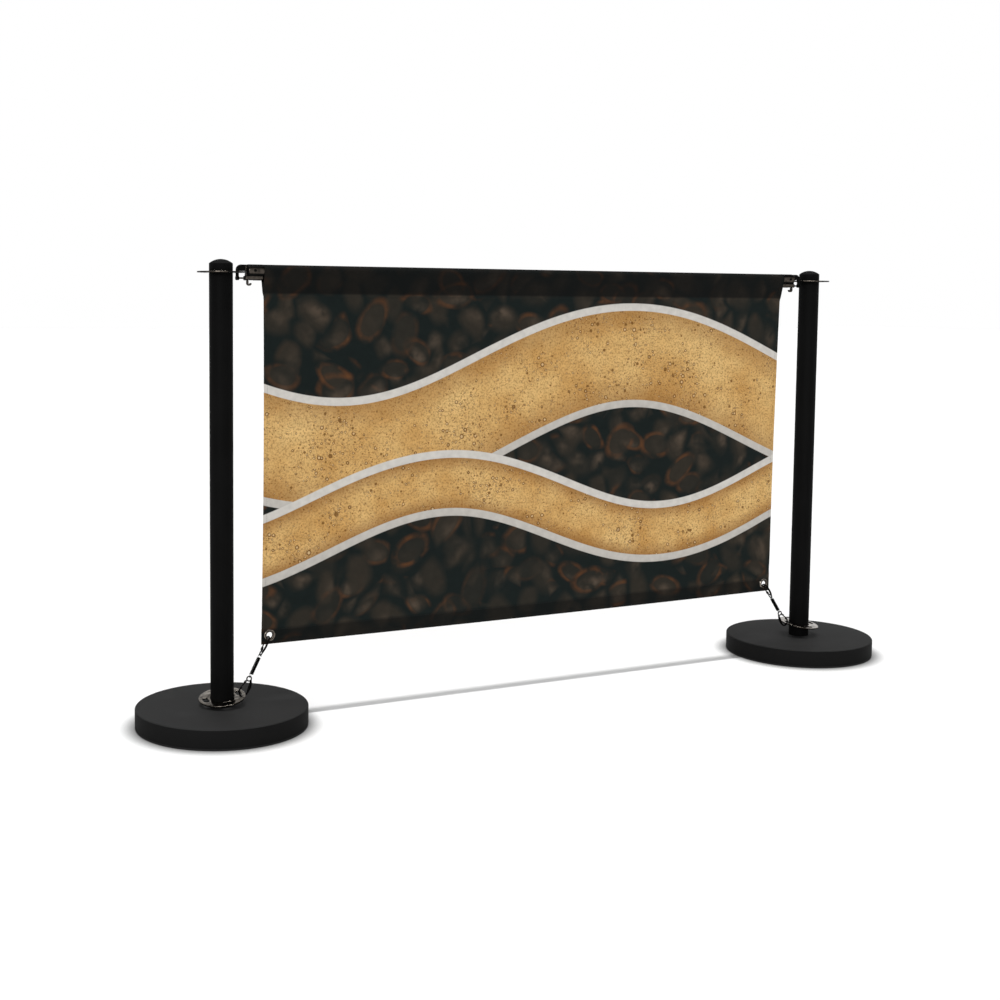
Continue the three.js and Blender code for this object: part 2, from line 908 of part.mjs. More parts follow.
// Snap hook, one casting: round bow, swelling spine, eye, and a lug that carries the gate
function snapBodyGeometry() {
  const bow = arc(0, 0, snapBow, Math.PI / 2, 1.5 * Math.PI, bowSteps);
  const path = [point(snapNose, snapBow), ...bow, spinePlace(1 / spineSteps)]
    .map((p) => new THREE.Vector3(p.x, p.y, 0));
  const eye = new THREE.TorusGeometry(snapEyeRadius, snapEyeWire, wireSides, eyeSteps)
    .translate(snapEyePlace, 0, 0);
  const lugRoot = snapEyePlace - snapEyeRadius;
  const lug = plate(
    [
      ...arc(gateHingeAlong, gateHingeAcross, lugRadius, Math.PI / 2, 1.5 * Math.PI, bendSteps),
      point(lugRoot, 0),
      point(snapEyePlace - snapEyeRadius / 2, (snapEyeRadius * Math.sqrt(3)) / 2),
    ],
    lugThickness,
  );
  const hinge = rodAcross(rivetRadius + seatGap, lugThickness + overrun);
  const rod = wire(path, snapWire, wireSides, wireSteps);
  return cut(join(rod, spineGeometry(), eye, lug), hinge);
}

// A point of the spine's middle line, from the bow at 0 to the eye at 1.
function spinePlace(share) {
  const curve = new THREE.QuadraticBezierCurve(
    point(0, -snapBow),
    point(snapSpine, -snapBow - snapWire / 2),
    point(snapEyePlace, -snapEyeRadius),
  );
  return curve.getPoint(share);
}

// The spine: flat sides, broadest halfway between the bow and the eye.
function spineGeometry() {
  const outer = [];
  const inner = [];
  for (let i = 0; i <= spineSteps; i += 1) {
    const share = i / spineSteps;
    const taper = THREE.MathUtils.lerp(snapWire, snapEyeWire, share);
    const half = taper + snapSpineSwell * Math.sin(Math.PI * share);
    const middle = spinePlace(share);
    outer.push(point(middle.x, middle.y - half));
    inner.unshift(point(middle.x, middle.y + half));
  }
  return plate([...outer, ...inner], 2 * snapEyeWire);
}

// A round rod along Z at the gate's hinge.
function rodAcross(radius, length) {
  return rod(
    new THREE.Vector3(gateHingeAlong, gateHingeAcross, -length / 2),
    new THREE.Vector3(gateHingeAlong, gateHingeAcross, length / 2),
    radius,
    tinySteps,
  );
}

function gateGeometry() {
  const hinge = new THREE.Vector3(gateHingeAlong, gateHingeAcross, 0);
  const end = new THREE.Vector3(snapNose + 2 * seatGap, snapBow - gateWire / 10, 0);
  const towards = new THREE.Vector3().subVectors(end, hinge).normalize();
  const forkReach = lugRadius + 2 * seatGap;
  const bar = rod(hinge.clone().addScaledVector(towards, forkReach), end, gateWire, tinySteps);
  const forkWidth = lugThickness + 2 * cheekThickness + 2 * seatGap;
  const side = new THREE.Vector3(-towards.y, towards.x, 0);
  const corner = (along, across) => {
    const p = hinge.clone().addScaledVector(towards, along).addScaledVector(side, across);
    return point(p.x, p.y);
  };
  const turn = Math.atan2(towards.y, towards.x);
  const fork = plate(
    [
      ...arc(hinge.x, hinge.y, lugRadius, turn + Math.PI / 2, turn + 1.5 * Math.PI, bendSteps),
      corner(2 * lugRadius, -lugRadius),
      corner(3 * lugRadius, -gateWire / 2),
      corner(3 * lugRadius, gateWire / 2),
      corner(2 * lugRadius, lugRadius),
    ],
    forkWidth,
  );
  const tongueTop = snapBow - snapWire - seatGap;
  const tongue = block(
    new THREE.Vector3(snapNose - gateTongueOverlap, tongueTop - gateTongue, -gateWire),
    new THREE.Vector3(snapNose + 2 * gateWire, tongueTop, gateWire),
  );
  const bridge = block(
    new THREE.Vector3(snapNose + 2 * seatGap, tongueTop - gateTongue, -gateWire / 2),
    new THREE.Vector3(snapNose + 2 * gateWire, snapBow, gateWire / 2),
  );
  const slot = rodAcross(forkReach, lugThickness + 2 * seatGap);
  const pinHole = rodAcross(rivetRadius + seatGap, forkWidth + overrun);
  return cut(join(bar, fork, tongue, bridge), slot, pinHole);
}

function rivetGeometry() {
  const forkWidth = lugThickness + 2 * cheekThickness + 2 * seatGap;
  const headFace = forkWidth / 2 + seatGap;
  const head = headFace + rivetHeadThickness;
  const profile = [
    point(0, -head),
    point(rivetHeadRadius, -head),
    point(rivetHeadRadius, -headFace),
    point(rivetRadius, -headFace),
    point(rivetRadius, headFace),
    point(rivetHeadRadius, headFace),
    point(rivetHeadRadius, head),
    point(0, head),
  ];
  return turnedUpright(profile, tinySteps).translate(gateHingeAlong, gateHingeAcross, 0);
}

// Tension spring along +Z: an end loop in the X plane, close turns, an end loop in the Y plane
function strapSpringPoints(span) {
  const turns = strapSpringTurns - 1 / 4;
  const body = span - 4 * strapLoopRadius - 2 * strapLoopRise;
  const count = Math.round(turns * coilPointsPerTurn);
  const coil = Array.from({ length: count + 1 }, (_, i) => {
    const angle = Math.PI / 2 + (2 * Math.PI * turns * i) / count;
    return new THREE.Vector3(
      strapSpringRadius * Math.cos(angle),
      strapSpringRadius * Math.sin(angle),
      (body * i) / count - body / 2,
    );
  });
  const startLoop = endLoop(new THREE.Vector3(0, 1, 0), new THREE.Vector3(1, 0, 0), -1, -body / 2);
  const endLoopPoints = endLoop(new THREE.Vector3(1, 0, 0), new THREE.Vector3(0, 1, 0), 1, body / 2);
  return [...startLoop.reverse(), ...coil, ...endLoopPoints];
}

// An end loop that leaves the coil at `out`, heads along `ahead` and rounds the axis.
function endLoop(out, ahead, direction, from) {
  return Array.from({ length: coilPointsPerTurn }, (_, i) => {
    const angle = (strapLoopAngle * (i + 1)) / coilPointsPerTurn;
    const settle = THREE.MathUtils.smoothstep(angle, 0, Math.PI / 2);
    const rise = strapLoopRise * settle + strapLoopRadius * (1 - Math.cos(angle));
    return new THREE.Vector3()
      .addScaledVector(out, strapSpringRadius * (1 - settle))
      .addScaledVector(ahead, strapLoopRadius * Math.sin(angle))
      .addScaledVector(zAxis, from + direction * rise);
  });
}

// A group whose X, Y and Z lie along the given directions.
function framed(origin, along, across) {
  const group = new THREE.Group();
  const out = new THREE.Vector3().crossVectors(along, across);
  group.position.copy(origin);
  group.quaternion.setFromRotationMatrix(new THREE.Matrix4().makeBasis(along, across, out));
  return group;
}

function basePieces(name) {
  const { baseCoat, rubber, concrete, zinc } = finishes;
  return [
    piece(`${name}_base_foot`, footGeometry(), rubber),
    piece(`${name}_base_weight`, weightGeometry(), concrete),
    piece(`${name}_base_cover`, coverGeometry(), baseCoat),
    piece(`${name}_base_washer`, washerGeometry(), zinc),
    piece(`${name}_base_bolt`, boltGeometry(), zinc),
  ];
}

function postPieces(name) {
  const { powderCoat, zinc, gunmetal } = finishes;
  const foot = baseHeight + seatGap;
  const footInsert = insertGeometry(foot, foot + footInsertHeight, boltRadius + seatGap);
  const topInsert = insertGeometry(tubeTop - topInsertHeight, tubeTop, studRadius + seatGap);
  const ring = piece(`${name}_top_ring`, ringPlateGeometry(spigotRadius + seatGap), gunmetal);
  ring.position.z = topRingHeight;
  return [
    piece(`${name}_post_tube`, tubeGeometry(), powderCoat),
    piece(`${name}_foot_insert`, footInsert, zinc),
    piece(`${name}_top_insert`, topInsert, zinc),
    ring,
    piece(`${name}_cap`, capGeometry(), powderCoat),
    piece(`${name}_cap_stud`, studGeometry(), zinc),
  ];
}

function hookPieces(name) {
  const { gunmetal, springSteel, zinc } = finishes;
  return [
    piece(`${name}_hook`, hookGeometry(), gunmetal),
    piece(`${name}_latch_bolt`, latchBoltGeometry(), gunmetal),
    piece(`${name}_thumb_lever`, thumbLeverGeometry(), gunmetal),
    piece(`${name}_latch_spring`, latchSpringGeometry(), springSteel),
    piece(`${name}_spring_plug`, springPlugGeometry(), zinc),
    piece(`${name}_hook_screw`, hookScrewGeometry(), zinc),
  ];
}

function eyeletGroup(side) {
  const group = new THREE.Group();
  group.position.copy(eyeletPlace(side));
  group.add(piece(`${side.name}_eyelet`, eyeletGeometry(), finishes.chrome));
  group.add(piece(`${side.name}_eyelet_washer`, eyeletWasherGeometry(), finishes.chrome));
  return group;
}

function lowerRing(side) {
  const ring = piece(`${side.name}_lower_ring`, ringPlateGeometry(lowerRingBore), finishes.chrome);
  ring.position.z = baseHeight + side.lowerRingLift;
  const banner = Math.tan(lowerRingTiltToBanner);
  const back = Math.tan(lowerRingTiltToBack);
  const normal = new THREE.Vector3(-banner, -back, 1).normalize();
  ring.quaternion.setFromUnitVectors(zAxis, normal);
  return ring;
}

function snapHook(name, origin, along, across) {
  const group = framed(origin, along, across);
  group.add(piece(`${name}`, snapBodyGeometry(), finishes.chrome));
  group.add(piece(`${name}_gate`, gateGeometry(), finishes.chrome));
  group.add(piece(`${name}_rivet`, rivetGeometry(), finishes.zinc));
  return group;
}

// Strap: a snap hook in the eyelet, a tension spring, and a snap hook round the lower ring's rim
function strapPieces(side) {
  const eyelet = eyeletPlace(side);
  const webRise = side.lowerRingLift + ringWebCentre * Math.tan(lowerRingTiltToBanner);
  const web = new THREE.Vector3(ringWebCentre, 0, baseHeight + webRise);
  const down = new THREE.Vector3().subVectors(web, eyelet).normalize();
  const up = down.clone().negate();
  const toPost = new THREE.Vector3().crossVectors(yAxis, down).normalize();
  const eyeletReach = bannerFabric + seatGap + eyeletCrown + seatGap;
  const bowDip = snapBow - Math.sqrt(snapBow ** 2 - eyeletReach ** 2);
  const inHole = eyeletHole - snapWire - 2 * seatGap - bowDip;
  const upperBow = eyelet.clone().addScaledVector(down, inHole + snapBow);
  const webReach = Math.hypot(ringWebWidth, ringThickness) / 2;
  const lowerBow = web.clone().addScaledVector(up, snapBow - snapWire - webReach - seatGap);
  const upperEye = upperBow.clone().addScaledVector(down, snapEyePlace);
  const lowerEye = lowerBow.clone().addScaledVector(up, snapEyePlace);
  const eyeSlack = snapEyeRadius - snapEyeWire - strapSpringWire - seatGap;
  const span = upperEye.distanceTo(lowerEye) - 2 * eyeSlack;
  const springGroup = framed(upperEye.clone().lerp(lowerEye, 1 / 2), toPost, yAxis.clone());
  const points = strapSpringPoints(span);
  const gap = leastGap(points, strapSpringWire, 3 * strapSpringRadius);
  console.log(`${side.name} strap spring: least gap ${gap.toFixed(2)} mm`);
  const steps = springStepsPerTurn * (strapSpringTurns + 2);
  const spring = wire(points, strapSpringWire, springSides, steps);
  springGroup.add(piece(`${side.name}_strap_spring`, spring, finishes.springSteel));
  return [
    snapHook(`${side.name}_upper_snap`, upperBow, down, yAxis.clone()),
    springGroup,
    snapHook(`${side.name}_lower_snap`, lowerBow, up, toPost),
  ];
}

function half(side) {
  const group = new THREE.Group();
  group.position.x = (-side.sign * postSpacing) / 2;
  group.scale.x = side.sign;
  group.add(...basePieces(side.name), ...postPieces(side.name), lowerRing(side));
  group.add(...hookPieces(side.name), eyeletGroup(side), ...strapPieces(side));
  return group;
}

const barrier = new THREE.Group();
barrier.add(...sides.map(half));
barrier.add(piece('rail', railGeometry(), finishes.powderCoat));
barrier.add(piece('banner', bannerGeometry(), finishes.fabric));

export default barrier;
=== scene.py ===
"""The looks of a cafe barrier: two weighted posts, a latched rail and a printed banner on sprung straps.

Sizes are written in millimetres in the half-frame of the part's source: X runs from a post's axis
towards the banner, +Y away from the viewer and +Z up. The right half is the left one mirrored.
"""

from __future__ import annotations

import json
import logging
import math
from dataclasses import dataclass, field
from enum import Enum
from functools import partial, reduce
from typing import Callable, Sequence

import bmesh
import bpy
from bpy.types import ID, Material, Mesh, Node, NodeSocket, NodeTree, Object
from mathutils import Matrix, Quaternion, Vector
from mathutils.geometry import tessellate_polygon

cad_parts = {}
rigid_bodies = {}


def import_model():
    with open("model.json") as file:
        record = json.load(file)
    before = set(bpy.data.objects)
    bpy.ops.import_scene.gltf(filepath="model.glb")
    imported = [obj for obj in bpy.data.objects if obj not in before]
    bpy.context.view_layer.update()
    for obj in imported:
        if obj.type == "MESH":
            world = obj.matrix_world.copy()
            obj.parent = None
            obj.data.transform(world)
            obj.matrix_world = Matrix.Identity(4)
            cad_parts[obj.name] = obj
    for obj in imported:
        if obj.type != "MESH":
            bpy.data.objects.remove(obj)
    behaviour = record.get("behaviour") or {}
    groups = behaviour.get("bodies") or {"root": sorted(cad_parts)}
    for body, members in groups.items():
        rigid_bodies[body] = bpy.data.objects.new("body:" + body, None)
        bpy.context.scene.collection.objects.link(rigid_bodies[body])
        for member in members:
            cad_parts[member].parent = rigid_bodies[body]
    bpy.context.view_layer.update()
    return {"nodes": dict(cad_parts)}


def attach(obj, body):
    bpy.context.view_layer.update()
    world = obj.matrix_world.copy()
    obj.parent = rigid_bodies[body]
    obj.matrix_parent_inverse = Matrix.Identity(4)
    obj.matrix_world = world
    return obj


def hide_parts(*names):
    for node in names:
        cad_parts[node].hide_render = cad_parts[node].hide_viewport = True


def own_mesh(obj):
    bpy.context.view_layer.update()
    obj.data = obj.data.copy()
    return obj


LOG = logging.getLogger("cafe_barrier")
RAIL = "rail"
MM = 0.001
TO_METRES = Matrix.Diagonal((MM, MM, MM, 1))
X_AXIS = Vector((1, 0, 0))
Y_AXIS = Vector((0, 1, 0))
Z_AXIS = Vector((0, 0, 1))
MERGE_DISTANCE = 1e-6
SHARP_EDGE, SHARP_CUT, SHARP_WIRE = 38.0, 42.0, 60.0
ROD_END = ((0.175, 0.866), (0.28, 0.6), (0.3325, 0.31))

Colour = tuple[float, float, float, float]
Face = tuple[int, ...]
Profile = list[tuple[float, float]]
Outline = Callable[[float], list[Vector]]


class Side(Enum):
    """The two halves, with the sign that turns the half-frame into the row frame."""

    LEFT = 1
    RIGHT = -1

    @property
    def label(self) -> str:
        """The word that the half's nodes and bodies begin with."""
        return self.name.lower()


class Slot(Enum):
    """The record's material slots."""

    POWDER_COAT = "powder_coat"
    BASE_COAT = "base_coat"
    RUBBER = "rubber"
    CONCRETE = "concrete"
    ZINC = "zinc"
    CHROME = "chrome"
    GUNMETAL = "gunmetal"
    SPRING_STEEL = "spring_steel"
    BANNER_FABRIC = "banner_fabric"


@dataclass(frozen=True)
class Layout:
    """Where the parts of the barrier stand, and the sizes that several share, in millimetres."""

    post_spacing: float = 1592.0
    top_ring_height: float = 968.0
    lower_ring_left: float = 60.0
    lower_ring_right: float = 74.0
    rail_height: float = 972.0
    rail_radius: float = 11.0
    rail_end: float = 62.0
    screw_place: float = 72.0
    screw_radius: float = 2.0
    gap: float = 0.3

    def to_row(self, side: Side) -> Matrix:
        """The matrix from a half-frame in millimetres to the row frame in metres.

        Args:
            side: The half.

        Returns:
            A matrix that mirrors the right half.
        """
        sign = side.value
        place = Matrix.Translation((-sign * self.post_spacing / 2 * MM, 0, 0))
        return place @ Matrix.Diagonal((sign * MM, MM, MM, 1))

    def lower_ring(self, side: Side) -> float:
        """The height of a side's lower ring plate."""
        return self.lower_ring_left if side is Side.LEFT else self.lower_ring_right


LAYOUT = Layout()


# Shapes


@dataclass
class Surface:
    """Points in millimetres and the faces between them."""

    points: list[Vector] = field(default_factory=list)
    faces: list[Face] = field(default_factory=list)

    def moved(self, matrix: Matrix) -> Surface:
        """The same surface, moved by a matrix."""
        return Surface([matrix @ p for p in self.points], list(self.faces))

    def add(self, *others: Surface) -> Surface:
        """Adds other surfaces, which aren't joined to this one at their crossings.

        Args:
            others: The surfaces to add.

        Returns:
            This surface.
        """
        for other in others:
            start = len(self.points)
            self.points += other.points
            self.faces += [tuple(i + start for i in face) for face in other.faces]
        return self


def held(value: float, low: float, high: float) -> float:
    """A number, kept within a range."""
    return min(max(value, low), high)


def at(x: float, z: float, y: float = 0.0) -> Vector:
    """A point of the barrier's middle plane, or beside it."""
    return Vector((x, y, z))


def steps_of(start: float, end: float, steps: int) -> list[float]:
    """Evenly spaced numbers, both ends included."""
    return [start + (end - start) * i / steps for i in range(steps + 1)]


def arc(x: float, y: float, radius: float, start: float, end: float, steps: int) -> list[Vector]:
    """Points of an arc about a centre, from one angle to another, both ends included."""
    return [Vector((x + radius * math.cos(a), y + radius * math.sin(a))) for a in steps_of(start, end, steps)]


def ring_of(radius: float, steps: int) -> list[Vector]:
    """Points of a full circle about the origin, each once."""
    return arc(0, 0, radius, 0, 2 * math.pi, steps)[:-1]


def grid_faces(rows: int, columns: int, closed: bool = False) -> list[Face]:
    """The quads of a grid of points.

    Args:
        rows: How many rows of points there are.
        columns: How many points a row has.
        closed: Whether a row's last point is joined to its first.

    Returns:
        The faces.
    """
    faces: list[Face] = []
    for i in range(rows - 1):
        a, b = i * columns, (i + 1) * columns
        for j in range(columns if closed else columns - 1):
            k = (j + 1) % columns
            faces.append((a + j, b + j, b + k, a + k))
    return faces


def tube_faces(rows: int, sides: int) -> list[Face]:
    """The faces of a tube of rings, with a cap at each end."""
    caps = [tuple(range(sides)), tuple(reversed(range((rows - 1) * sides, rows * sides)))]
    return [*grid_faces(rows, sides, True), *caps]


def turned(profile: Profile, steps: int) -> Surface:
    """A profile of (radius, height) turned about Z; points on the axis become poles.

    Args:
        profile: The outline, which ends on the axis or is closed on itself.
        steps: How many flats go round.

    Returns:
        The closed surface.
    """
    closed = profile[0][0] > MERGE_DISTANCE
    rows = profile[:-1] if closed and profile[0] == profile[-1] else profile
    surface = Surface()
    starts: list[tuple[int, bool]] = []
    for radius, height in rows:
        pole = radius <= MERGE_DISTANCE
        starts.append((len(surface.points), pole))
        ring = [Vector((0, 0))] if pole else ring_of(radius, steps)
        surface.points += [Vector((p.x, p.y, height)) for p in ring]
    for (a, a_pole), (b, b_pole) in zip(starts, starts[1:] + (starts[:1] if closed else [])):
        for i in range(0 if a_pole and b_pole else steps):
            j = (i + 1) % steps
            lower = (a,) if a_pole else (a + i, a + j)
            upper = (b,) if b_pole else (b + j, b + i)
            surface.faces.append((*lower, *upper))
    return surface


def swept(path: Sequence[Vector], radii: Sequence[float], sides: int) -> Surface:
    """A round rod along a path, with domed ends.

    Args:
        path: The centre line.
        radii: The rod's radius at each point of the path.
        sides: How many flats go round.

    Returns:
        The closed surface.
    """
    count = len(path)
    tangents = [(path[min(i + 1, count - 1)] - path[max(i - 1, 0)]).normalized() for i in range(count)]
    normal = tangents[0].orthogonal().normalized()
    rows: list[tuple[Vector, Vector, Vector, float]] = []
    for i, (place, tangent) in enumerate(zip(path, tangents)):
        if i:
            normal = (tangents[i - 1].rotation_difference(tangent) @ normal).normalized()
        rows.append((place, normal, tangent.cross(normal), radii[i]))
    first, last = rows[0], rows[-1]
    for out, wide in ROD_END:
        rows.insert(0, (first[0] - tangents[0] * first[3] * out, first[1], first[2], first[3] * wide))
        rows.append((last[0] + tangents[-1] * last[3] * out, last[1], last[2], last[3] * wide))
    surface = Surface(faces=tube_faces(len(rows), sides))
    for place, across, other, radius in rows:
        surface.points += [place + across * p.x + other * p.y for p in ring_of(radius, sides)]
    return surface


def prism(outline: Sequence[Vector], thickness: float) -> Surface:
    """An outline in X and Y with a thickness.

    Args:
        outline: The outline's points.
        thickness: The prism's thickness.

    Returns:
        The closed surface, centred on the plane Z = 0.
    """
    count = len(outline)
    points = [Vector((p.x, p.y, z)) for z in (-thickness / 2, thickness / 2) for p in outline]
    faces: list[Face] = [tuple(reversed(range(count))), tuple(range(count, 2 * count))]
    faces += [(i, (i + 1) % count, count + (i + 1) % count, count + i) for i in range(count)]
    return Surface(points, faces)


def upright(surface: Surface) -> Surface:
    """A surface drawn in X and Y, stood up so that its Y becomes Z."""
    return surface.moved(Matrix.Rotation(math.pi / 2, 4, "X"))


def levelled(surface: Surface, height: float) -> Surface:
    """A surface turned about Z, laid down along +X at a height."""
    return surface.moved(Matrix.Translation((0, 0, height)) @ Matrix.Rotation(math.pi / 2, 4, "Y"))


def rod(start: Vector, end: Vector, radius: float, sides: int = 32) -> Surface:
    """A plain rod between two points, used to join shapes or to cut a hole.

    Args:
        start: The middle of one end.
        end: The middle of the other end.
        radius: The rod's radius.
        sides: How many flats go round.

    Returns:
        The closed surface.
    """
    turn = Z_AXIS.rotation_difference(end - start).to_matrix().to_4x4()
    length = (end - start).length
    shape = turned([(0, 0), (radius, 0), (radius, length), (0, length)], sides)
    return shape.moved(Matrix.Translation(start) @ turn)


def block(low: Vector, high: Vector) -> Surface:
    """A box between its lowest and its highest corner, used to join shapes or to cut a slot."""
    outline = [Vector(p) for p in ((low.x, low.y), (high.x, low.y), (high.x, high.y), (low.x, high.y))]
    return prism(outline, high.z - low.z).moved(Matrix.Translation((0, 0, (low.z + high.z) / 2)))


def rounded_plate(outlines: Sequence[Outline], thickness: float, edge: float) -> Surface:
    """A flat plate whose rim and holes have rounded edges.

    Args:
        outlines: The rim first and then the holes, each drawn for an inset of its edge.
        thickness: The plate's thickness.
        edge: The radius of the rounding.

    Returns:
        The closed surface, centred on the plane Z = 0.
    """
    levels = [
        (edge * (1 - math.sin(angle)), -thickness / 2 + edge * (1 - math.cos(angle)))
        for angle in steps_of(0, math.pi / 2, 4)
    ]
    levels += [(inset, -height) for inset, height in reversed(levels)]
    surface = Surface()
    loops: list[range] = []
    for outline in outlines:
        points = [Vector((p.x, p.y, height)) for inset, height in levels for p in outline(inset)]
        count, start = len(points) // len(levels), len(surface.points)
        surface.add(Surface(points, grid_faces(len(levels), count, True)))
        loops.append(range(start, start + count))
    above = {i: i + (len(levels) - 1) * len(loop) for loop in loops for i in loop}
    flat = [i for loop in loops for i in loop]
    for triangle in tessellate_polygon([[surface.points[i].to_2d().to_3d() for i in loop] for loop in loops]):
        low = tuple(flat[i] for i in triangle)
        surface.faces += [low, tuple(above[i] for i in reversed(low))]
    return surface


def framed(origin: Vector, along: Vector, across: Vector) -> Matrix:
    """The matrix of a frame whose X and Y lie along two directions."""
    turn = Matrix((along, across, along.cross(across))).transposed().to_4x4()
    return Matrix.Translation(origin) @ turn


def linked(name: str, data: ID) -> Object:
    """Makes an object and links it to the scene.

    Args:
        name: The object's name.
        data: Its mesh, camera or light.

    Returns:
        The new object.
    """
    obj = bpy.data.objects.new(name, data)
    bpy.context.scene.collection.objects.link(obj)
    return obj


def mesh_object(name: str, points: list[Vector], faces: list[Face], edges: Sequence[Face] = ()) -> Object:
    """Makes a mesh object.

    Args:
        name: The name of the object and its mesh.
        points: The points, in metres.
        faces: The faces between them.
        edges: The bare edges between them.

    Returns:
        The new object, linked to the scene.
    """
    mesh = bpy.data.meshes.new(name)
    mesh.from_pydata(points, edges, faces)
    return linked(name, mesh)


def smooth(mesh: Mesh, degrees: float) -> None:
    """Shades a mesh smooth, but for the edges above an angle."""
    mesh.shade_smooth()
    mesh.set_sharp_from_angle(angle=math.radians(degrees))


def clean(mesh: Mesh) -> None:
    """Joins doubled points and turns all faces outwards.

    Args:
        mesh: The mesh to change.
    """
    work = bmesh.new()
    work.from_mesh(mesh)
    bmesh.ops.remove_doubles(work, verts=work.verts, dist=MERGE_DISTANCE)
    bmesh.ops.recalc_face_normals(work, faces=work.faces)
    work.to_mesh(mesh)
    work.free()


def make_object(name: str, surface: Surface, matrix: Matrix) -> Object:
    """A mesh object at the origin, with its place in its mesh and its faces pointing outwards.

    Args:
        name: The object's name.
        surface: The shape, in millimetres.
        matrix: What takes it to the row frame, in metres.

    Returns:
        The new object, linked to the scene.
    """
    obj = mesh_object(name, surface.moved(matrix).points, surface.faces)
    clean(obj.data)
    smooth(obj.data, SHARP_EDGE)
    return obj


def apply_modifiers(obj: Object) -> Object:
    """Turns an object's modifiers into its mesh and removes them.

    Args:
        obj: The object.

    Returns:
        The same object.
    """
    graph = bpy.context.evaluated_depsgraph_get()
    mesh = bpy.data.meshes.new_from_object(obj.evaluated_get(graph), depsgraph=graph)
    obj.modifiers.clear()
    old, obj.data = obj.data, mesh
    bpy.data.meshes.remove(old)
    return obj


def cast(name: str, shapes: Sequence[Surface], matrix: Matrix, voxel: float) -> Object:
    """One casting from crossing shapes: they are fused and their joints softened.

    Args:
        name: The object's name.
        shapes: The shapes to fuse, in millimetres.
        matrix: What takes them to the row frame, in metres.
        voxel: The grain of the fusing, in millimetres.

    Returns:
        The new object.
    """
    obj = make_object(name, Surface().add(*shapes), matrix)
    fuse = obj.modifiers.new("Fuse", "REMESH")
    fuse.mode = "VOXEL"
    fuse.voxel_size = voxel * MM
    fuse.use_smooth_shade = True
    soften = obj.modifiers.new("Soften", "SMOOTH")
    soften.factor = 0.5
    soften.iterations = 6
    return apply_modifiers(obj)


def carve(obj: Object, cutters: Sequence[Surface], matrix: Matrix) -> Object:
    """Cuts holes into an object, with crisp edges.

    Args:
        obj: The object to cut.
        cutters: The shapes to take away, in millimetres.
        matrix: What takes them to the row frame, in metres.

    Returns:
        The same object with its new mesh.
    """
    tools = [make_object("cutter", cutter, matrix) for cutter in cutters]
    for tool in tools:
        change = obj.modifiers.new("Cut", "BOOLEAN")
        change.operation = "DIFFERENCE"
        change.solver = "EXACT"
        change.object = tool
    apply_modifiers(obj)
    for tool in tools:
        bpy.data.objects.remove(tool)
    smooth(obj.data, SHARP_CUT)
    return obj


# Node trees


class Tree:
    """A short way to write the nodes and links of a tree."""

    def __init__(self, tree: NodeTree) -> None:
        """Takes the tree to write to."""
        self.tree = tree

    def add(self, kind: str, settings: dict[str, object] | None = None, **inputs: object) -> Node:
        """Adds a node.

        Args:
            kind: The node's type.
            settings: Values for the node's own properties.
            inputs: Values or sockets for its inputs, by name with spaces as underscores, or by number
                as in_0.

        Returns:
            The new node.
        """
        node = self.tree.nodes.new(kind)
        for key, value in (settings or {}).items():
            setattr(node, key, value)
        for key, value in inputs.items():
            self.put(value, node.inputs[int(key[3:]) if key.startswith("in_") else key.replace("_", " ")])
        return node

    def put(self, value: object, target: NodeSocket) -> None:
        """Links a socket to an input, or sets the input's value.

        Args:
            value: The socket or the value.
            target: The input.
        """
        if isinstance(value, NodeSocket):
            self.tree.links.new(value, target)
        else:
            target.default_value = value

    def math(self, operation: str, *values: object) -> NodeSocket:
        """The result of a Math node on up to three numbers or sockets."""
        inputs = {f"in_{i}": value for i, value in enumerate(values)}
        return self.add("ShaderNodeMath", {"operation": operation}, **inputs).outputs[0]

    def times(self, first: object, *others: object) -> object:
        """The product of numbers and sockets."""
        return reduce(partial(self.math, "MULTIPLY"), others, first)

    def spread(
        self, value: object, low: float, high: float, to_low: float = 0.0, to_high: float = 1.0
    ) -> NodeSocket:
        """A value carried from one range to another, and held within it."""
        ranges = {"From_Min": low, "From_Max": high, "To_Min": to_low, "To_Max": to_high}
        return self.add("ShaderNodeMapRange", {"clamp": True}, Value=value, **ranges).outputs["Result"]


class MaterialTree(Tree):
    """The nodes of a material with one shader."""

    def __init__(self, name: str) -> None:
        """Starts the material.

        Args:
            name: The material's name.
        """
        self.material = bpy.data.materials.new(name)
        self.material.use_nodes = True
        super().__init__(self.material.node_tree)
        self.shader = self.tree.nodes["Principled BSDF"]

    def shaded(self, **inputs: object) -> Material:
        """Sets the shader.

        Args:
            inputs: Values or sockets for its inputs, by name with spaces as underscores.

        Returns:
            The material.
        """
        for key, value in inputs.items():
            self.put(value, self.shader.inputs[key.replace("_", " ")])
        return self.material

    def mix(self, share: object, first: object, second: object) -> NodeSocket:
        """A mix of two colours, from the first at 0 to the second at 1."""
        node = self.add("ShaderNodeMix", {"data_type": "RGBA"}, in_0=share, in_6=first, in_7=second)
        return node.outputs[2]

    def noise(self, place: object, scale: float, detail: float = 3.0) -> NodeSocket:
        """Noise between 0 and 1 at a number of features per metre."""
        return self.add("ShaderNodeTexNoise", Vector=place, Scale=scale, Detail=detail).outputs["Fac"]

    def object_place(self) -> NodeSocket:
        """The Object coordinates."""
        return self.add("ShaderNodeTexCoord").outputs["Object"]

    def bump(self, height: object, strength: float, distance: float) -> NodeSocket:
        """A bump's normal, with its depth in metres."""
        node = self.add("ShaderNodeBump", Strength=strength, Distance=distance, Height=height)
        return node.outputs["Normal"]


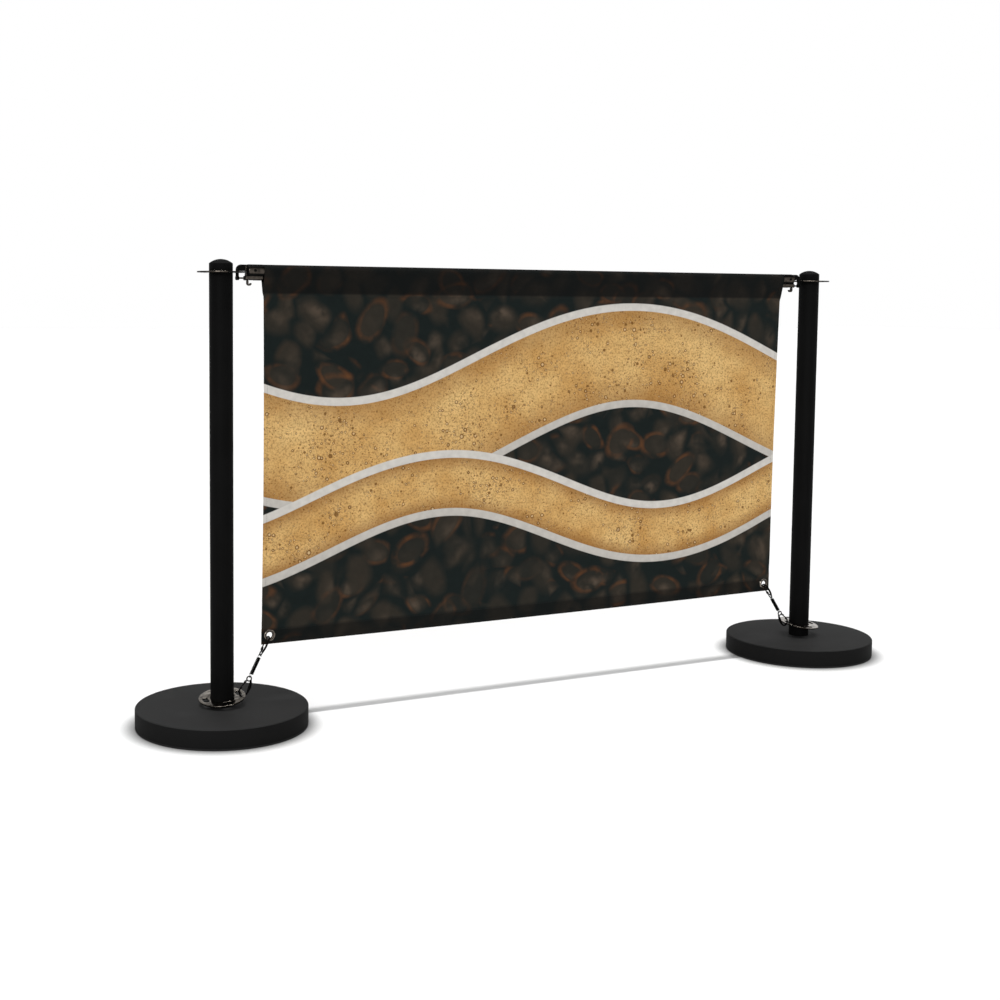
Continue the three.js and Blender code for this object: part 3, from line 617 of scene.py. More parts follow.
def line_object(name: str, lines: Sequence[Sequence[Vector]], matrix: Matrix) -> Object:
    """A mesh of bare edges, for a node tree to work along.

    Args:
        name: The object's name.
        lines: The points of each line, in millimetres.
        matrix: What takes them to the row frame, in metres.

    Returns:
        The object.
    """
    points: list[Vector] = []
    edges: list[Face] = []
    for line in lines:
        start = len(points)
        points += [matrix @ p for p in line]
        edges += [(i, i + 1) for i in range(start, len(points) - 1)]
    return mesh_object(name, points, [], edges)


class GeometryTree(Tree):
    """A geometry node tree with named inputs, built in code."""

    def __init__(self, name: str, inputs: dict[str, str]) -> None:
        """Starts the tree.

        Args:
            name: The tree's name.
            inputs: The socket type of each named input.
        """
        super().__init__(bpy.data.node_groups.new(name, "GeometryNodeTree"))
        face = self.tree.interface
        face.new_socket("Geometry", in_out="OUTPUT", socket_type="NodeSocketGeometry")
        sockets = {"Geometry": "NodeSocketGeometry", **inputs}
        self.identifiers = {
            label: face.new_socket(label, in_out="INPUT", socket_type=kind).identifier
            for label, kind in sockets.items()
        }
        self.given = self.add("NodeGroupInput").outputs

    def close(self, geometry: NodeSocket) -> None:
        """Ends the tree in real, smooth geometry.

        Args:
            geometry: What the tree has made.
        """
        real = self.add("GeometryNodeRealizeInstances", Geometry=geometry)
        smoothed = self.add("GeometryNodeSetShadeSmooth", Geometry=real.outputs[0])
        self.add("NodeGroupOutput", in_0=smoothed.outputs[0])

    def apply(self, obj: Object, values: dict[str, float]) -> None:
        """Runs the tree on an object and keeps the result as its mesh.

        Args:
            obj: The object to work on.
            values: A value for each named input.
        """
        modifier = obj.modifiers.new("Rule", "NODES")
        modifier.node_group = self.tree
        for label, value in values.items():
            modifier[self.identifiers[label]] = value
        apply_modifiers(obj)


def tube_tree() -> GeometryTree:
    """The tree that winds a round wire along a line.

    Returns:
        The tree, with inputs for the wire's radius and its facets.
    """
    tree = GeometryTree("wire along a line", {"Radius": "NodeSocketFloat", "Facets": "NodeSocketInt"})
    curve = tree.add("GeometryNodeMeshToCurve", Mesh=tree.given["Geometry"]).outputs[0]
    sizes = {"Resolution": tree.given["Facets"], "Radius": tree.given["Radius"]}
    circle = tree.add("GeometryNodeCurvePrimitiveCircle", **sizes).outputs[0]
    tube = tree.add("GeometryNodeCurveToMesh", Curve=curve, Profile_Curve=circle, Fill_Caps=True)
    tree.close(tube.outputs[0])
    return tree


def wound_tube(name: str, line: Sequence[Vector], matrix: Matrix, radius: float, facets: int) -> Object:
    """A wire along a line of points.

    Args:
        name: The object's name.
        line: The points, in millimetres.
        matrix: What takes them to the row frame, in metres.
        radius: The wire's radius, in millimetres.
        facets: How many flats the wire has.

    Returns:
        The object.
    """
    obj = line_object(name, [line], matrix)
    tube_tree().apply(obj, {"Radius": radius * MM, "Facets": facets})
    clean(obj.data)
    smooth(obj.data, SHARP_WIRE)
    return obj


def stitch_tree() -> GeometryTree:
    """The tree that sews uneven stitches along lines.

    Returns:
        The tree, with inputs for the stitches' spacing, length, thickness, unevenness and seed.
    """
    numbers = ("Spacing", "Length", "Thread radius", "Unevenness")
    kinds = {**dict.fromkeys(numbers, "NodeSocketFloat"), "Seed": "NodeSocketInt"}
    tree = GeometryTree("stitches along a line", kinds)
    given = tree.given
    curve = tree.add("GeometryNodeMeshToCurve", Mesh=given["Geometry"]).outputs[0]
    rule = {"mode": "LENGTH"}
    points = tree.add("GeometryNodeCurveToPoints", rule, Curve=curve, Length=given["Spacing"]).outputs
    bead = tree.add("GeometryNodeMeshUVSphere", Segments=6, Rings=4, Radius=1.0).outputs[0]
    half, thick = tree.times(given["Length"], 0.5), given["Thread radius"]
    size = tree.add("ShaderNodeCombineXYZ", X=thick, Y=thick, Z=half).outputs[0]
    turn = tree.add("FunctionNodeAlignRotationToVector", {"axis": "Z"}, Vector=points["Tangent"]).outputs[0]
    draw = {"Seed": given["Seed"], "in_2": tree.math("SUBTRACT", 1.0, given["Unevenness"]), "in_3": 1.0}
    chance = tree.add("FunctionNodeRandomValue", {"data_type": "FLOAT"}, **draw).outputs[1]
    scale = tree.add("ShaderNodeVectorMath", {"operation": "SCALE"}, in_0=size, Scale=chance).outputs[0]
    place = {"Points": points[0], "Instance": bead, "Rotation": turn, "Scale": scale}
    tree.close(tree.add("GeometryNodeInstanceOnPoints", **place).outputs[0])
    return tree


# Finishes


def grey(value: float) -> Colour:
    """A neutral colour of that brightness."""
    return (value, value, value, 1.0)


@dataclass(frozen=True)
class CoatFinish:
    """A powder coat: fine orange peel, slightly uneven gloss and a trace of dust."""

    name: str
    colour: Colour
    dusty: Colour
    roughness: float
    peel_per_metre: float
    peel_depth: float
    specular: float

    def build(self) -> Material:
        """Makes the material.

        Returns:
            The material.
        """
        nodes = MaterialTree(self.name)
        place = nodes.object_place()
        peel, cloud = nodes.noise(place, self.peel_per_metre, 2.0), nodes.noise(place, 9.0, 4.0)
        return nodes.shaded(
            Base_Color=nodes.mix(nodes.spread(cloud, 0.42, 0.72), self.colour, self.dusty),
            Roughness=nodes.spread(cloud, 0.3, 0.7, self.roughness - 0.05, self.roughness + 0.08),
            Specular_IOR_Level=self.specular,
            Normal=nodes.bump(peel, 0.35, self.peel_depth),
        )


@dataclass(frozen=True)
class MetalFinish:
    """A bare or plated metal, with fine scratches and smudges in its gloss."""

    name: str
    colour: Colour
    worn: Colour
    roughness: float
    edge: float = 1.0
    grain_per_metre: float = 900.0
    grain_depth: float = 0.00002

    def build(self) -> Material:
        """Makes the material.

        Returns:
            The material.
        """
        nodes = MaterialTree(self.name)
        place = nodes.object_place()
        smudge = nodes.noise(place, 120.0, 4.0)
        stretched = nodes.add("ShaderNodeMapping", Vector=place, Scale=(1.0, 1.0, 12.0)).outputs[0]
        scratch = nodes.noise(stretched, self.grain_per_metre, 3.0)
        return nodes.shaded(
            Base_Color=nodes.mix(nodes.spread(smudge, 0.46, 0.66), self.colour, self.worn),
            Roughness=nodes.spread(scratch, 0.3, 0.75, self.roughness * 0.7, self.roughness * 1.5),
            Metallic=1.0,
            Specular_Tint=grey(self.edge),
            Normal=nodes.bump(scratch, 0.2, self.grain_depth),
        )


@dataclass(frozen=True)
class MineralFinish:
    """Rubber or concrete: matt, with pores or grit."""

    name: str
    colour: Colour
    other: Colour
    roughness: float
    grit_per_metre: float
    grit_depth: float

    def build(self) -> Material:
        """Makes the material.

        Returns:
            The material.
        """
        nodes = MaterialTree(self.name)
        place = nodes.object_place()
        grit = nodes.noise(place, self.grit_per_metre, 5.0)
        cells = nodes.add("ShaderNodeTexVoronoi", Vector=place, Scale=self.grit_per_metre / 3)
        share = nodes.times(grit, nodes.spread(cells.outputs["Distance"], 0.05, 0.3))
        rough = min(1.0, self.roughness + 0.05)
        return nodes.shaded(
            Base_Color=nodes.mix(share, self.other, self.colour),
            Roughness=nodes.spread(grit, 0.3, 0.7, self.roughness - 0.08, rough),
            Specular_IOR_Level=0.25,
            Normal=nodes.bump(share, 0.5, self.grit_depth),
        )


class ClothTree(MaterialTree):
    """The nodes of a cloth's material, with the cloth's own coordinates in metres."""

    def __init__(self, name: str) -> None:
        """Starts the material and reads the coordinates.

        Args:
            name: The material's name.
        """
        super().__init__(name)
        self.uv = self.add("ShaderNodeUVMap", {"uv_map": "cloth"}).outputs[0]
        parts = self.add("ShaderNodeSeparateXYZ", Vector=self.uv)
        self.across, self.up = parts.outputs[0], parts.outputs[1]


@dataclass(frozen=True)
class Wave:
    """A caramel wave of the print, in metres but for its turns per metre and its phase and tone."""

    middle: float
    swing: float
    turns: float
    phase: float
    half: float
    tone: float


@dataclass(frozen=True)
class PrintedFabric:
    """Polyester canvas with a printed picture: two caramel waves with cream borders on dark pebbles."""

    name: str = "printed canvas"
    waves: Sequence[Wave] = (
        Wave(0.51, 0.105, 4.1, 0.55, 0.108, 0.0),
        Wave(0.255, 0.075, 5.2, 2.9, 0.058, 0.55),
    )
    pocket_edge: Sequence[float] = (0.752, 0.758)
    hem_edge: Sequence[float] = (0.028, 0.036)
    border: float = 0.0165
    bleed: float = 0.0015
    pebble_per_metre: float = 10.5
    pebble_long: float = 0.60
    pebble_wide: float = 0.36
    thread_pitch: float = 0.55 * MM
    weave_depth: float = 0.15 * MM
    caramel_dark: Colour = (0.27, 0.110, 0.030, 1.0)
    caramel: Colour = (0.66, 0.37, 0.115, 1.0)
    caramel_light: Colour = (0.88, 0.59, 0.24, 1.0)
    speck_dark: Colour = (0.20, 0.085, 0.022, 1.0)
    speck_light: Colour = (0.80, 0.60, 0.33, 1.0)
    cream: Colour = (0.74, 0.71, 0.66, 1.0)
    cream_shade: Colour = (0.42, 0.39, 0.35, 1.0)
    soot: Colour = (0.0018, 0.0019, 0.0018, 1.0)
    shade: Colour = (0.0075, 0.0122, 0.0117, 1.0)
    pebble: Colour = (0.033, 0.0275, 0.0205, 1.0)
    gleam: Colour = (0.135, 0.098, 0.070, 1.0)
    ember: Colour = (0.190, 0.070, 0.022, 1.0)

    def build(self) -> Material:
        """Makes the material, drawn on the cloth's own UV map in metres.

        Returns:
            The material.
        """
        nodes = ClothTree(self.name)
        picture = self.ground(nodes)
        for wave in self.waves:
            picture = self.wave(nodes, picture, wave)
        height = self.weave(nodes)
        return nodes.shaded(
            Base_Color=self.worn(nodes, picture),
            Specular_IOR_Level=0.08,
            Roughness=nodes.spread(height, 0.0, 1.0, 0.78, 0.62),
            Normal=nodes.bump(height, 0.3, self.weave_depth),
        )

    def ground(self, nodes: ClothTree) -> object:
        """Dark rounded pebbles, soft as if out of focus.

        Args:
            nodes: The material's nodes.

        Returns:
            The colour.
        """
        drift = nodes.add("ShaderNodeTexNoise", Vector=nodes.uv, Scale=5.0, Detail=1.0).outputs["Color"]
        bend = {"in_0": drift, "in_1": (0.05, 0.05, 0.0), "in_2": nodes.uv}
        bent = nodes.add("ShaderNodeVectorMath", {"operation": "MULTIPLY_ADD"}, **bend).outputs[0]
        picture: object = self.shade
        for scale, turned_by in ((self.pebble_per_metre * 1.25, 0.9), (self.pebble_per_metre, 0.0)):
            place = nodes.add("ShaderNodeMapping", Vector=bent, Rotation=(0.0, 0.0, turned_by)).outputs[0]
            picture = self.pebbles(nodes, place, scale, picture)
        return picture

    def pebbles(self, nodes: ClothTree, place: object, scale: float, below: object) -> object:
        """One layer of long rounded pebbles, each turned its own way and lit on one shoulder.

        Args:
            nodes: The material's nodes.
            place: The layer's coordinates.
            scale: How many pebbles a metre.
            below: The colour so far.

        Returns:
            The colour with the layer on it.
        """
        grid = {"Vector": place, "Scale": scale, "Randomness": 0.8}
        cells = nodes.add("ShaderNodeTexVoronoi", **grid)
        seam = nodes.add("ShaderNodeTexVoronoi", {"feature": "DISTANCE_TO_EDGE"}, **grid).outputs["Distance"]
        chance = nodes.add("ShaderNodeSeparateColor", Color=cells.outputs["Color"]).outputs
        ends = {"in_0": place, "in_1": cells.outputs["Position"]}
        away = nodes.add("ShaderNodeVectorMath", {"operation": "SUBTRACT"}, **ends).outputs[0]
        turn = nodes.times(chance[0], math.pi)
        spun = nodes.add("ShaderNodeVectorRotate", {"rotation_type": "Z_AXIS"}, Vector=away, Angle=turn)
        parts = nodes.add("ShaderNodeSeparateXYZ", Vector=spun.outputs[0]).outputs
        along = nodes.times(parts[0], scale / self.pebble_long)
        across = nodes.times(parts[1], scale / self.pebble_wide)
        reach = self.distance(nodes, along, across, 0.0)
        body = nodes.times(nodes.spread(reach, 0.55, 1.05, 1.0, 0.0), nodes.spread(seam, 0.0, 0.13))
        tone = nodes.times(body, nodes.spread(chance[1], 0.0, 1.0, 0.35, 1.0))
        ground = nodes.mix(tone, below, self.pebble)
        shoulder = nodes.spread(self.distance(nodes, along, across, 0.34), 0.12, 0.72, 1.0, 0.0)
        streak = nodes.spread(nodes.noise(place, 26.0, 2.0), 0.36, 0.66)
        lit = nodes.times(shoulder, streak, body, nodes.spread(chance[2], 0.25, 1.0, 0.0, 0.9))
        ground = nodes.mix(lit, ground, self.gleam)
        brim = nodes.times(nodes.spread(reach, 0.62, 0.8), body)
        return nodes.mix(nodes.times(brim, nodes.spread(chance[0], 0.55, 0.8), streak), ground, self.ember)

    def distance(self, nodes: ClothTree, along: object, across: object, off: float) -> object:
        """The distance from a point beside a pebble's middle, in half pebbles."""
        beside = nodes.math("SUBTRACT", across, off)
        return nodes.math("SQRT", nodes.math("MULTIPLY_ADD", along, along, nodes.times(beside, beside)))

    def wave(self, nodes: ClothTree, below: object, wave: Wave) -> object:
        """One caramel wave with a cream border, laid over what is below it.

        Args:
            nodes: The material's nodes.
            below: The colour so far.
            wave: The wave.

        Returns:
            The colour with the wave on it.
        """
        half = wave.half
        turn = nodes.math("MULTIPLY_ADD", nodes.across, wave.turns, wave.phase)
        crest = nodes.math("MULTIPLY_ADD", nodes.math("SINE", turn), wave.swing, wave.middle)
        rise = nodes.times(nodes.math("COSINE", turn), wave.swing * wave.turns)
        slope = nodes.math("SQRT", nodes.math("MULTIPLY_ADD", rise, rise, 1.0))
        offset = nodes.math("DIVIDE", nodes.math("SUBTRACT", nodes.up, crest), slope)
        distance = nodes.math("ABSOLUTE", offset)
        inside = nodes.spread(distance, half - 0.001, half, 1.0, 0.0)
        border = nodes.spread(distance, half + self.border, half + self.border + self.bleed, 1.0, 0.0)
        cloud = nodes.spread(nodes.noise(nodes.uv, 7.0 + 4 * wave.tone, 5.0), 0.36, 0.66)
        froth = nodes.mix(cloud, self.caramel, self.caramel_light)
        edge = nodes.spread(distance, half * 0.45, half, 0.0, 0.7 if wave.tone else 0.5)
        froth = nodes.mix(edge, froth, self.caramel_dark)
        grain = nodes.spread(nodes.noise(nodes.uv, 210.0, 3.0), 0.47, 0.72, 0.0, 0.7)
        froth = nodes.mix(grain, froth, self.caramel_dark)
        for scale, reach, depth in ((62.0, 0.40, 0.85), (125.0, 0.46, 0.8), (260.0, 0.46, 0.7)):
            froth = self.speckle(nodes, froth, scale, reach, depth)
        lit = nodes.spread(offset, -half - 0.03, half + 0.03, 0.55, 1.0)
        cream = nodes.mix(lit, self.cream_shade, self.cream)
        return nodes.mix(inside, nodes.mix(border, below, cream), froth)

    def speckle(self, nodes: ClothTree, below: object, scale: float, reach: float, depth: float) -> object:
        """Small round specks with a dark side and a light side.

        Args:
            nodes: The material's nodes.
            below: The colour so far.
            scale: How many specks a metre.
            reach: A speck's share of its cell.
            depth: How strong the specks are.

        Returns:
            The colour with the specks on it.
        """
        cells = nodes.add("ShaderNodeTexVoronoi", Vector=nodes.uv, Scale=scale, Randomness=1.0).outputs
        chance = nodes.add("ShaderNodeSeparateColor", Color=cells["Color"]).outputs[1]
        patch = nodes.spread(nodes.noise(nodes.uv, 8.0, 2.0), 0.38, 0.62, 0.45, 1.0)
        size = nodes.times(chance, patch, reach)
        near = nodes.math("LESS_THAN", cells["Distance"], size)
        core = nodes.math("LESS_THAN", cells["Distance"], nodes.times(size, 0.55))
        ring = nodes.times(nodes.math("SUBTRACT", near, core), depth)
        darker = nodes.mix(ring, below, self.speck_dark)
        return nodes.mix(nodes.times(core, depth * 0.8), darker, self.speck_light)

    def worn(self, nodes: ClothTree, colour: object) -> object:
        """The print as ink on cloth: slightly uneven, and dark on the pocket and the hem.

        Args:
            nodes: The material's nodes.
            colour: The picture.

        Returns:
            The colour.
        """
        uneven = nodes.spread(nodes.noise(nodes.uv, 60.0, 3.0), 0.3, 0.7, 0.9, 1.06)
        # Darker over the pocket and the bottom hem.
        pocket = nodes.times(nodes.spread(nodes.up, *self.pocket_edge), 0.82)
        hem = nodes.math("MAXIMUM", pocket, nodes.spread(nodes.up, *self.hem_edge, 0.70, 0.15))
        shaded = nodes.mix(hem, colour, self.soot)
        return nodes.add("ShaderNodeHueSaturation", Color=shaded, Value=uneven).outputs[0]

    def weave(self, nodes: ClothTree) -> object:
        """The height of the cloth's plain weave.

        Args:
            nodes: The material's nodes.

        Returns:
            The height, from 0 to 1.
        """
        turns = math.pi / self.thread_pitch
        warp, weft = (nodes.math("SINE", nodes.times(place, turns)) for place in (nodes.across, nodes.up))
        return nodes.math("ABSOLUTE", nodes.times(warp, weft))


@dataclass
class Finishes:
    """All finishes of the barrier: one for each slot, and a few for a part of a piece, among them copies that
    paint shade and highlights.
    """

    made: dict[Slot, Material] = field(init=False)
    thread: Material = field(init=False)
    oxide: Material = field(init=False)
    wall_coat: Material = field(init=False)

    def __post_init__(self) -> None:
        """Makes the materials."""
        concrete = ((0.38, 0.37, 0.35, 1.0), (0.24, 0.235, 0.22, 1.0))
        chrome = ((0.31, 0.277, 0.238, 1.0), (0.085, 0.074, 0.063, 1.0))
        gunmetal = ((0.066, 0.056, 0.047, 1.0), (0.030, 0.026, 0.022, 1.0))
        black, black_worn = grey(0.0016), (0.0040, 0.0036, 0.0033, 1.0)
        post, post_dust = grey(0.0030), grey(0.0046)
        spring, spring_dust = grey(0.0019), grey(0.0035)
        plans = {
            Slot.POWDER_COAT: CoatFinish("black powder coat", post, post_dust, 0.6, 1500.0, 0.00006, 0.03),
            Slot.BASE_COAT: CoatFinish(
                "textured base coat", grey(0.022), grey(0.029), 0.7, 900.0, 0.00012, 0.05
            ),
            Slot.RUBBER: MineralFinish("foot rubber", grey(0.012), grey(0.02), 0.85, 700.0, 0.0001),
            Slot.CONCRETE: MineralFinish("cast concrete", *concrete, 0.92, 260.0, 0.0006),
            Slot.ZINC: MetalFinish("zinc plate", grey(0.30), grey(0.20), 0.34, 0.6),
            Slot.CHROME: MetalFinish("warm chrome plate", *chrome, 0.15),
            Slot.GUNMETAL: MetalFinish("gunmetal plate", *gunmetal, 0.2, 0.1),
            Slot.SPRING_STEEL: CoatFinish(
                "oiled spring steel", spring, spring_dust, 0.26, 2500.0, 0.00002, 0.025
            ),
            Slot.BANNER_FABRIC: PrintedFabric(),
        }
        self.made = {slot: plan.build() for slot, plan in plans.items()}
        self.thread = MineralFinish("sewing thread", grey(0.012), grey(0.006), 0.8, 4000.0, 0.00005).build()
        # Black oxide is the snap hooks' and screw heads' own finish, and also painted shade on the ring
        # plates, the hook casting, the latch and the lever.
        self.oxide = CoatFinish("black oxide", black, black_worn, 0.24, 2500.0, 0.00002, 0.03).build()
        # A second black coat, darker than the base's top and lighter than the post: painted shade on the base
        # cover's wall and painted highlight on the cap's dome.
        wall, wall_dust = grey(0.0072), grey(0.0095)
        self.wall_coat = CoatFinish("base wall coat", wall, wall_dust, 0.68, 900.0, 0.00012, 0.04).build()

    def dress(self, obj: Object, finish: Material) -> None:
        """Gives an object one material alone."""
        obj.data.materials.clear()
        obj.data.materials.append(finish)

    def darken(self, obj: Object, finish: Material, picks: Callable[[Vector, Vector], bool]) -> None:
        """Gives some faces of a piece another finish; most callers paint shade, highlights or reflections
        this way.

        Args:
            obj: The piece, already dressed.
            finish: The other finish.
            picks: Tells from a face's middle and normal whether it is one of them.
        """
        obj.data.materials.append(finish)
        last = len(obj.data.materials) - 1
        for polygon in obj.data.polygons:
            if picks(polygon.center, polygon.normal):
                polygon.material_index = last


# Parts of the barrier


@dataclass
class Part:
    """A sub-assembly, with the finishes that its pieces get."""

    finishes: Finishes

    def hand_over(
        self, obj: Object, body: str, slot: Slot, node: str = "", finish: Material | None = None
    ) -> Object:
        """Dresses a piece, lets it ride on its body and puts it in the place of a CAD node.

        Args:
            obj: The finished piece.
            body: The CAD body it moves with.
            slot: The material slot of its finish.
            node: The CAD node that it stands for, if any.
            finish: A finish in the place of the slot's own.

        Returns:
            The piece.
        """
        self.finishes.dress(obj, finish or self.finishes.made[slot])
        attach(obj, body)
        if node:
            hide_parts(node)
        LOG.info("%s: %d faces, on %s", obj.name, len(obj.data.polygons), body)
        return obj


@dataclass
class HalfPart(Part):
    """A sub-assembly of one half."""

    side: Side

    @property
    def matrix(self) -> Matrix:
        """What takes the half-frame in millimetres to the row frame in metres."""
        return LAYOUT.to_row(self.side)

    def named(self, word: str) -> str:
        """A word after the half's own name."""
        return f"{self.side.label}_{word}"

    def piece(self, obj: Object, body: str, slot: Slot, node: str, finish: Material | None = None) -> None:
        """Hands over a piece of this half; its node and its body, but for the rail, are named for it."""
        self.hand_over(obj, body if body == RAIL else self.named(body), slot, self.named(node), finish)


@dataclass
class Base(HalfPart):
    """The weighted base: a spun cover over a weight, on a rubber foot."""

    radius: float = 185.0
    height: float = 44.0
    wall: float = 1.5
    corner: float = 3.5
    dish: float = 30.0
    foot: float = 4.0
    foot_inset: float = 1.2
    foot_bore: float = 26.0
    foot_edge: float = 0.8
    groove_depth: float = 1.2
    bolt_bore: float = 6.3
    steps: int = 192

    def build(self) -> None:
        """Makes the cover and the foot."""
        cover = make_object(self.named("spun_cover"), turned(self.cover_profile(), self.steps), self.matrix)
        self.piece(cover, "post", Slot.BASE_COAT, "base_cover")
        # Painted shade: the faces that don't look up get the darker coat, so the wall reads darker than the
        # top.
        self.finishes.darken(cover, self.finishes.wall_coat, lambda middle, normal: normal.z < 0.5)
        foot = make_object(self.named("rubber_foot"), turned(self.foot_profile(), self.steps), self.matrix)
        self.piece(foot, "post", Slot.RUBBER, "base_foot")

    def cover_profile(self) -> Profile:
        """The cover's section: a curled lower edge, a straight wall, a round shoulder and a shallow dish.

        Returns:
            Each point's radius and height.
        """
        low = self.foot + LAYOUT.gap
        radius, top = self.radius, self.height
        x, z = radius - self.corner, top - self.corner
        outer = [tuple(p) for p in arc(x, z, self.corner, 0, math.pi / 2, 10)]
        inner = [tuple(p) for p in arc(x, z, self.corner - self.wall, math.pi / 2, 0, 6)]
        lip = [(radius - self.wall, low + 0.4), (radius - self.wall * 0.7, low), (radius - 0.5, low)]
        lip += [(radius, low + 0.5), (radius, low + 2.2)]
        face = [(radius * 0.6, top), (self.dish, top), (self.bolt_bore, top)]
        return [*lip, *outer, *face, (self.bolt_bore, top - self.wall), *inner, lip[0]]

    def foot_profile(self) -> Profile:
        """The foot's section, with softened edges and a grip groove below.

        Returns:
            Each point's radius and height.
        """
        outer, soft, top, deep = self.radius - self.foot_inset, self.foot_edge, self.foot, self.groove_depth
        groove = [(outer - 22, 0.0), (outer - 21, deep), (outer - 15, deep), (outer - 14, 0.0)]
        edge = [(outer - soft, 0.0), (outer - 0.2, soft * 0.3), (outer, soft), (outer, top - soft / 2)]
        back = [(outer - soft / 2, top), (self.foot_bore, top), (self.foot_bore, 0.0)]
        return [(self.foot_bore, 0.0), *groove, *edge, *back]


@dataclass
class RingPlate(HalfPart):
    """The two ring plates of a post, with kidney-shaped holes for hooks."""

    radius: float = 50.0
    thickness: float = 3.0
    hole_circle: float = 37.0
    hole_width: float = 12.0
    half_span: float = math.radians(9.2)
    edge: float = 0.7
    clamped_bore: float = 18.0
    loose_bore: float = 26.3
    tilt_to_banner: float = math.radians(6.2)
    tilt_to_back: float = math.radians(6.8)
    # The heading of the rim stretch that gets a painted reflection.
    rubbed: float = math.radians(-120)

    def kidney(self, middle: float, inset: float) -> list[Vector]:
        """The outline of one hole.

        Args:
            middle: The hole's angle about the plate's centre.
            inset: How much wider it is drawn all round.

        Returns:
            The outline's points.
        """
        low, high = middle - self.half_span, middle + self.half_span
        first, last = (Vector((math.cos(a), math.sin(a))) * self.hole_circle for a in (low, high))
        half = self.hole_width / 2 + inset
        return [
            *arc(0, 0, self.hole_circle + half, low, high, 6)[1:-1],
            *arc(last.x, last.y, half, high, high + math.pi, 14),
            *arc(0, 0, self.hole_circle - half, high, low, 6)[1:-1],
            *arc(first.x, first.y, half, low + math.pi, low + 2 * math.pi, 14),
        ]

    def surface(self, bore: float) -> Surface:
        """The plate.

        Args:
            bore: The radius of the hole for the post.

        Returns:
            The plate's surface about the origin.
        """
        holes = [partial(self.kidney, math.pi / 2 * i) for i in range(4)]
        rims: list[Outline] = [lambda inset: ring_of(self.radius - inset, 144), *holes]
        rims.append(lambda inset: ring_of(bore + inset, 96))
        return rounded_plate(rims, self.thickness, self.edge)

    def build(self) -> None:
        """Makes the plate clamped under the cap, and the loose one that the strap holds up and tilts."""
        place = Matrix.Translation((0, 0, LAYOUT.top_ring_height))
        self.build_plate("upper_plate", "post", "top_ring", self.clamped_bore, place)
        normal = Vector((-math.tan(self.tilt_to_banner), -math.tan(self.tilt_to_back), 1)).normalized()
        turn = Z_AXIS.rotation_difference(normal).to_matrix().to_4x4()
        place = Matrix.Translation((0, 0, LAYOUT.lower_ring(self.side))) @ turn
        self.build_plate("loose_plate", "ring", "lower_ring", self.loose_bore, place)

    def build_plate(self, name: str, body: str, node: str, bore: float, place: Matrix) -> None:
        """Makes one plate with a chrome top face; painted shade makes its rim and underside black, and a
        painted reflection makes one stretch of its rim gunmetal.

        Args:
            name: The piece's name.
            body: The body it moves with.
            node: The node that it stands for.
            bore: The radius of the hole for the post.
            place: Where the plate lies in the half-frame.
        """
        matrix = self.matrix @ place
        plate = make_object(self.named(name), self.surface(bore), matrix)
        self.piece(plate, body, Slot.CHROME, node)
        axis = (matrix.to_3x3() @ Z_AXIS).normalized()
        front = Vector((math.cos(self.rubbed), math.sin(self.rubbed), 0))
        worn = self.finishes.made[Slot.GUNMETAL]
        # Painted shade on the rim and underside, then a painted reflection on the rim stretch that faces the
        # heading.
        self.finishes.darken(plate, self.finishes.oxide, lambda middle, normal: normal.dot(axis) < 0.8)
        self.finishes.darken(plate, worn, lambda middle, normal: normal.dot(front) > 0.88)


@dataclass
class Post(HalfPart):
    """The post's tube and its domed cap."""

    radius: float = 25.0
    wall: float = 2.0
    foot: float = 44.3
    filed: float = 0.5
    cap_skirt: float = 16.2
    dome_rise: float = 9.0
    dome_inset: float = 0.45
    spigot: float = 17.7
    spigot_drop: float = 1.5
    stud_bore: float = 5.3
    stud_depth: float = 14.3
    steps: int = 96

    def build(self) -> None:
        """Makes the tube and the cap."""
        tube = make_object(self.named("coated_tube"), turned(self.tube_profile(), self.steps), self.matrix)
        self.piece(tube, "post", Slot.POWDER_COAT, "post_tube")
        cap = make_object(self.named("domed_cap"), turned(self.cap_profile(), self.steps), self.matrix)
        self.piece(cap, "post", Slot.POWDER_COAT, "cap")
        # Painted highlight: the dome's upward faces get a lighter coat than the skirt.
        self.finishes.darken(cap, self.finishes.wall_coat, lambda middle, normal: normal.z > 0.3)

    def tube_profile(self) -> Profile:
        """The tube's section, with filed ends.

        Returns:
            Each point's radius and height.
        """
        foot, top = self.foot, LAYOUT.top_ring_height - self.spigot_drop - LAYOUT.gap
        radius, bore, file = self.radius, self.radius - self.wall, self.filed
        lower = [(radius - file, foot), (radius - 0.1, foot + file * 0.4), (radius, foot + file)]
        upper = [(radius, top - file), (radius - 0.1, top - file * 0.4), (radius - file, top)]
        return [(bore, foot), *lower, *upper, (bore, top), (bore, foot)]

    def cap_profile(self) -> Profile:
        """The cap's section: bored spigot, straight skirt, rounded shoulder and shallow dome.

        Returns:
            Each point's radius and height.
        """
        foot = LAYOUT.top_ring_height - self.spigot_drop
        low = LAYOUT.top_ring_height + self.spigot_drop + LAYOUT.gap
        top = low + self.cap_skirt
        sphere = (self.radius**2 + self.dome_rise**2) / (2 * self.dome_rise)
        middle = top + self.dome_rise - sphere
        rim = math.acos((self.radius - self.dome_inset) / sphere)
        dome = [(p.x, p.y) for p in arc(0, middle, sphere, rim, math.pi / 2, 22)]
        dome[-1] = (0.0, top + self.dome_rise)
        bore = [(0.0, low + self.stud_depth), (self.stud_bore, low + self.stud_depth), (self.stud_bore, foot)]
        spigot = [(self.spigot - 0.4, foot), (self.spigot, foot + 0.4), (self.spigot, low)]
        skirt = [(self.radius - 0.5, low), (self.radius - 0.12, low + 0.15), (self.radius, low + 0.5)]
        shoulder = [(self.radius, top - 0.6), (self.radius - 0.12, top - 0.1)]
        return [*bore, *spigot, *skirt, *shoulder, *dome]


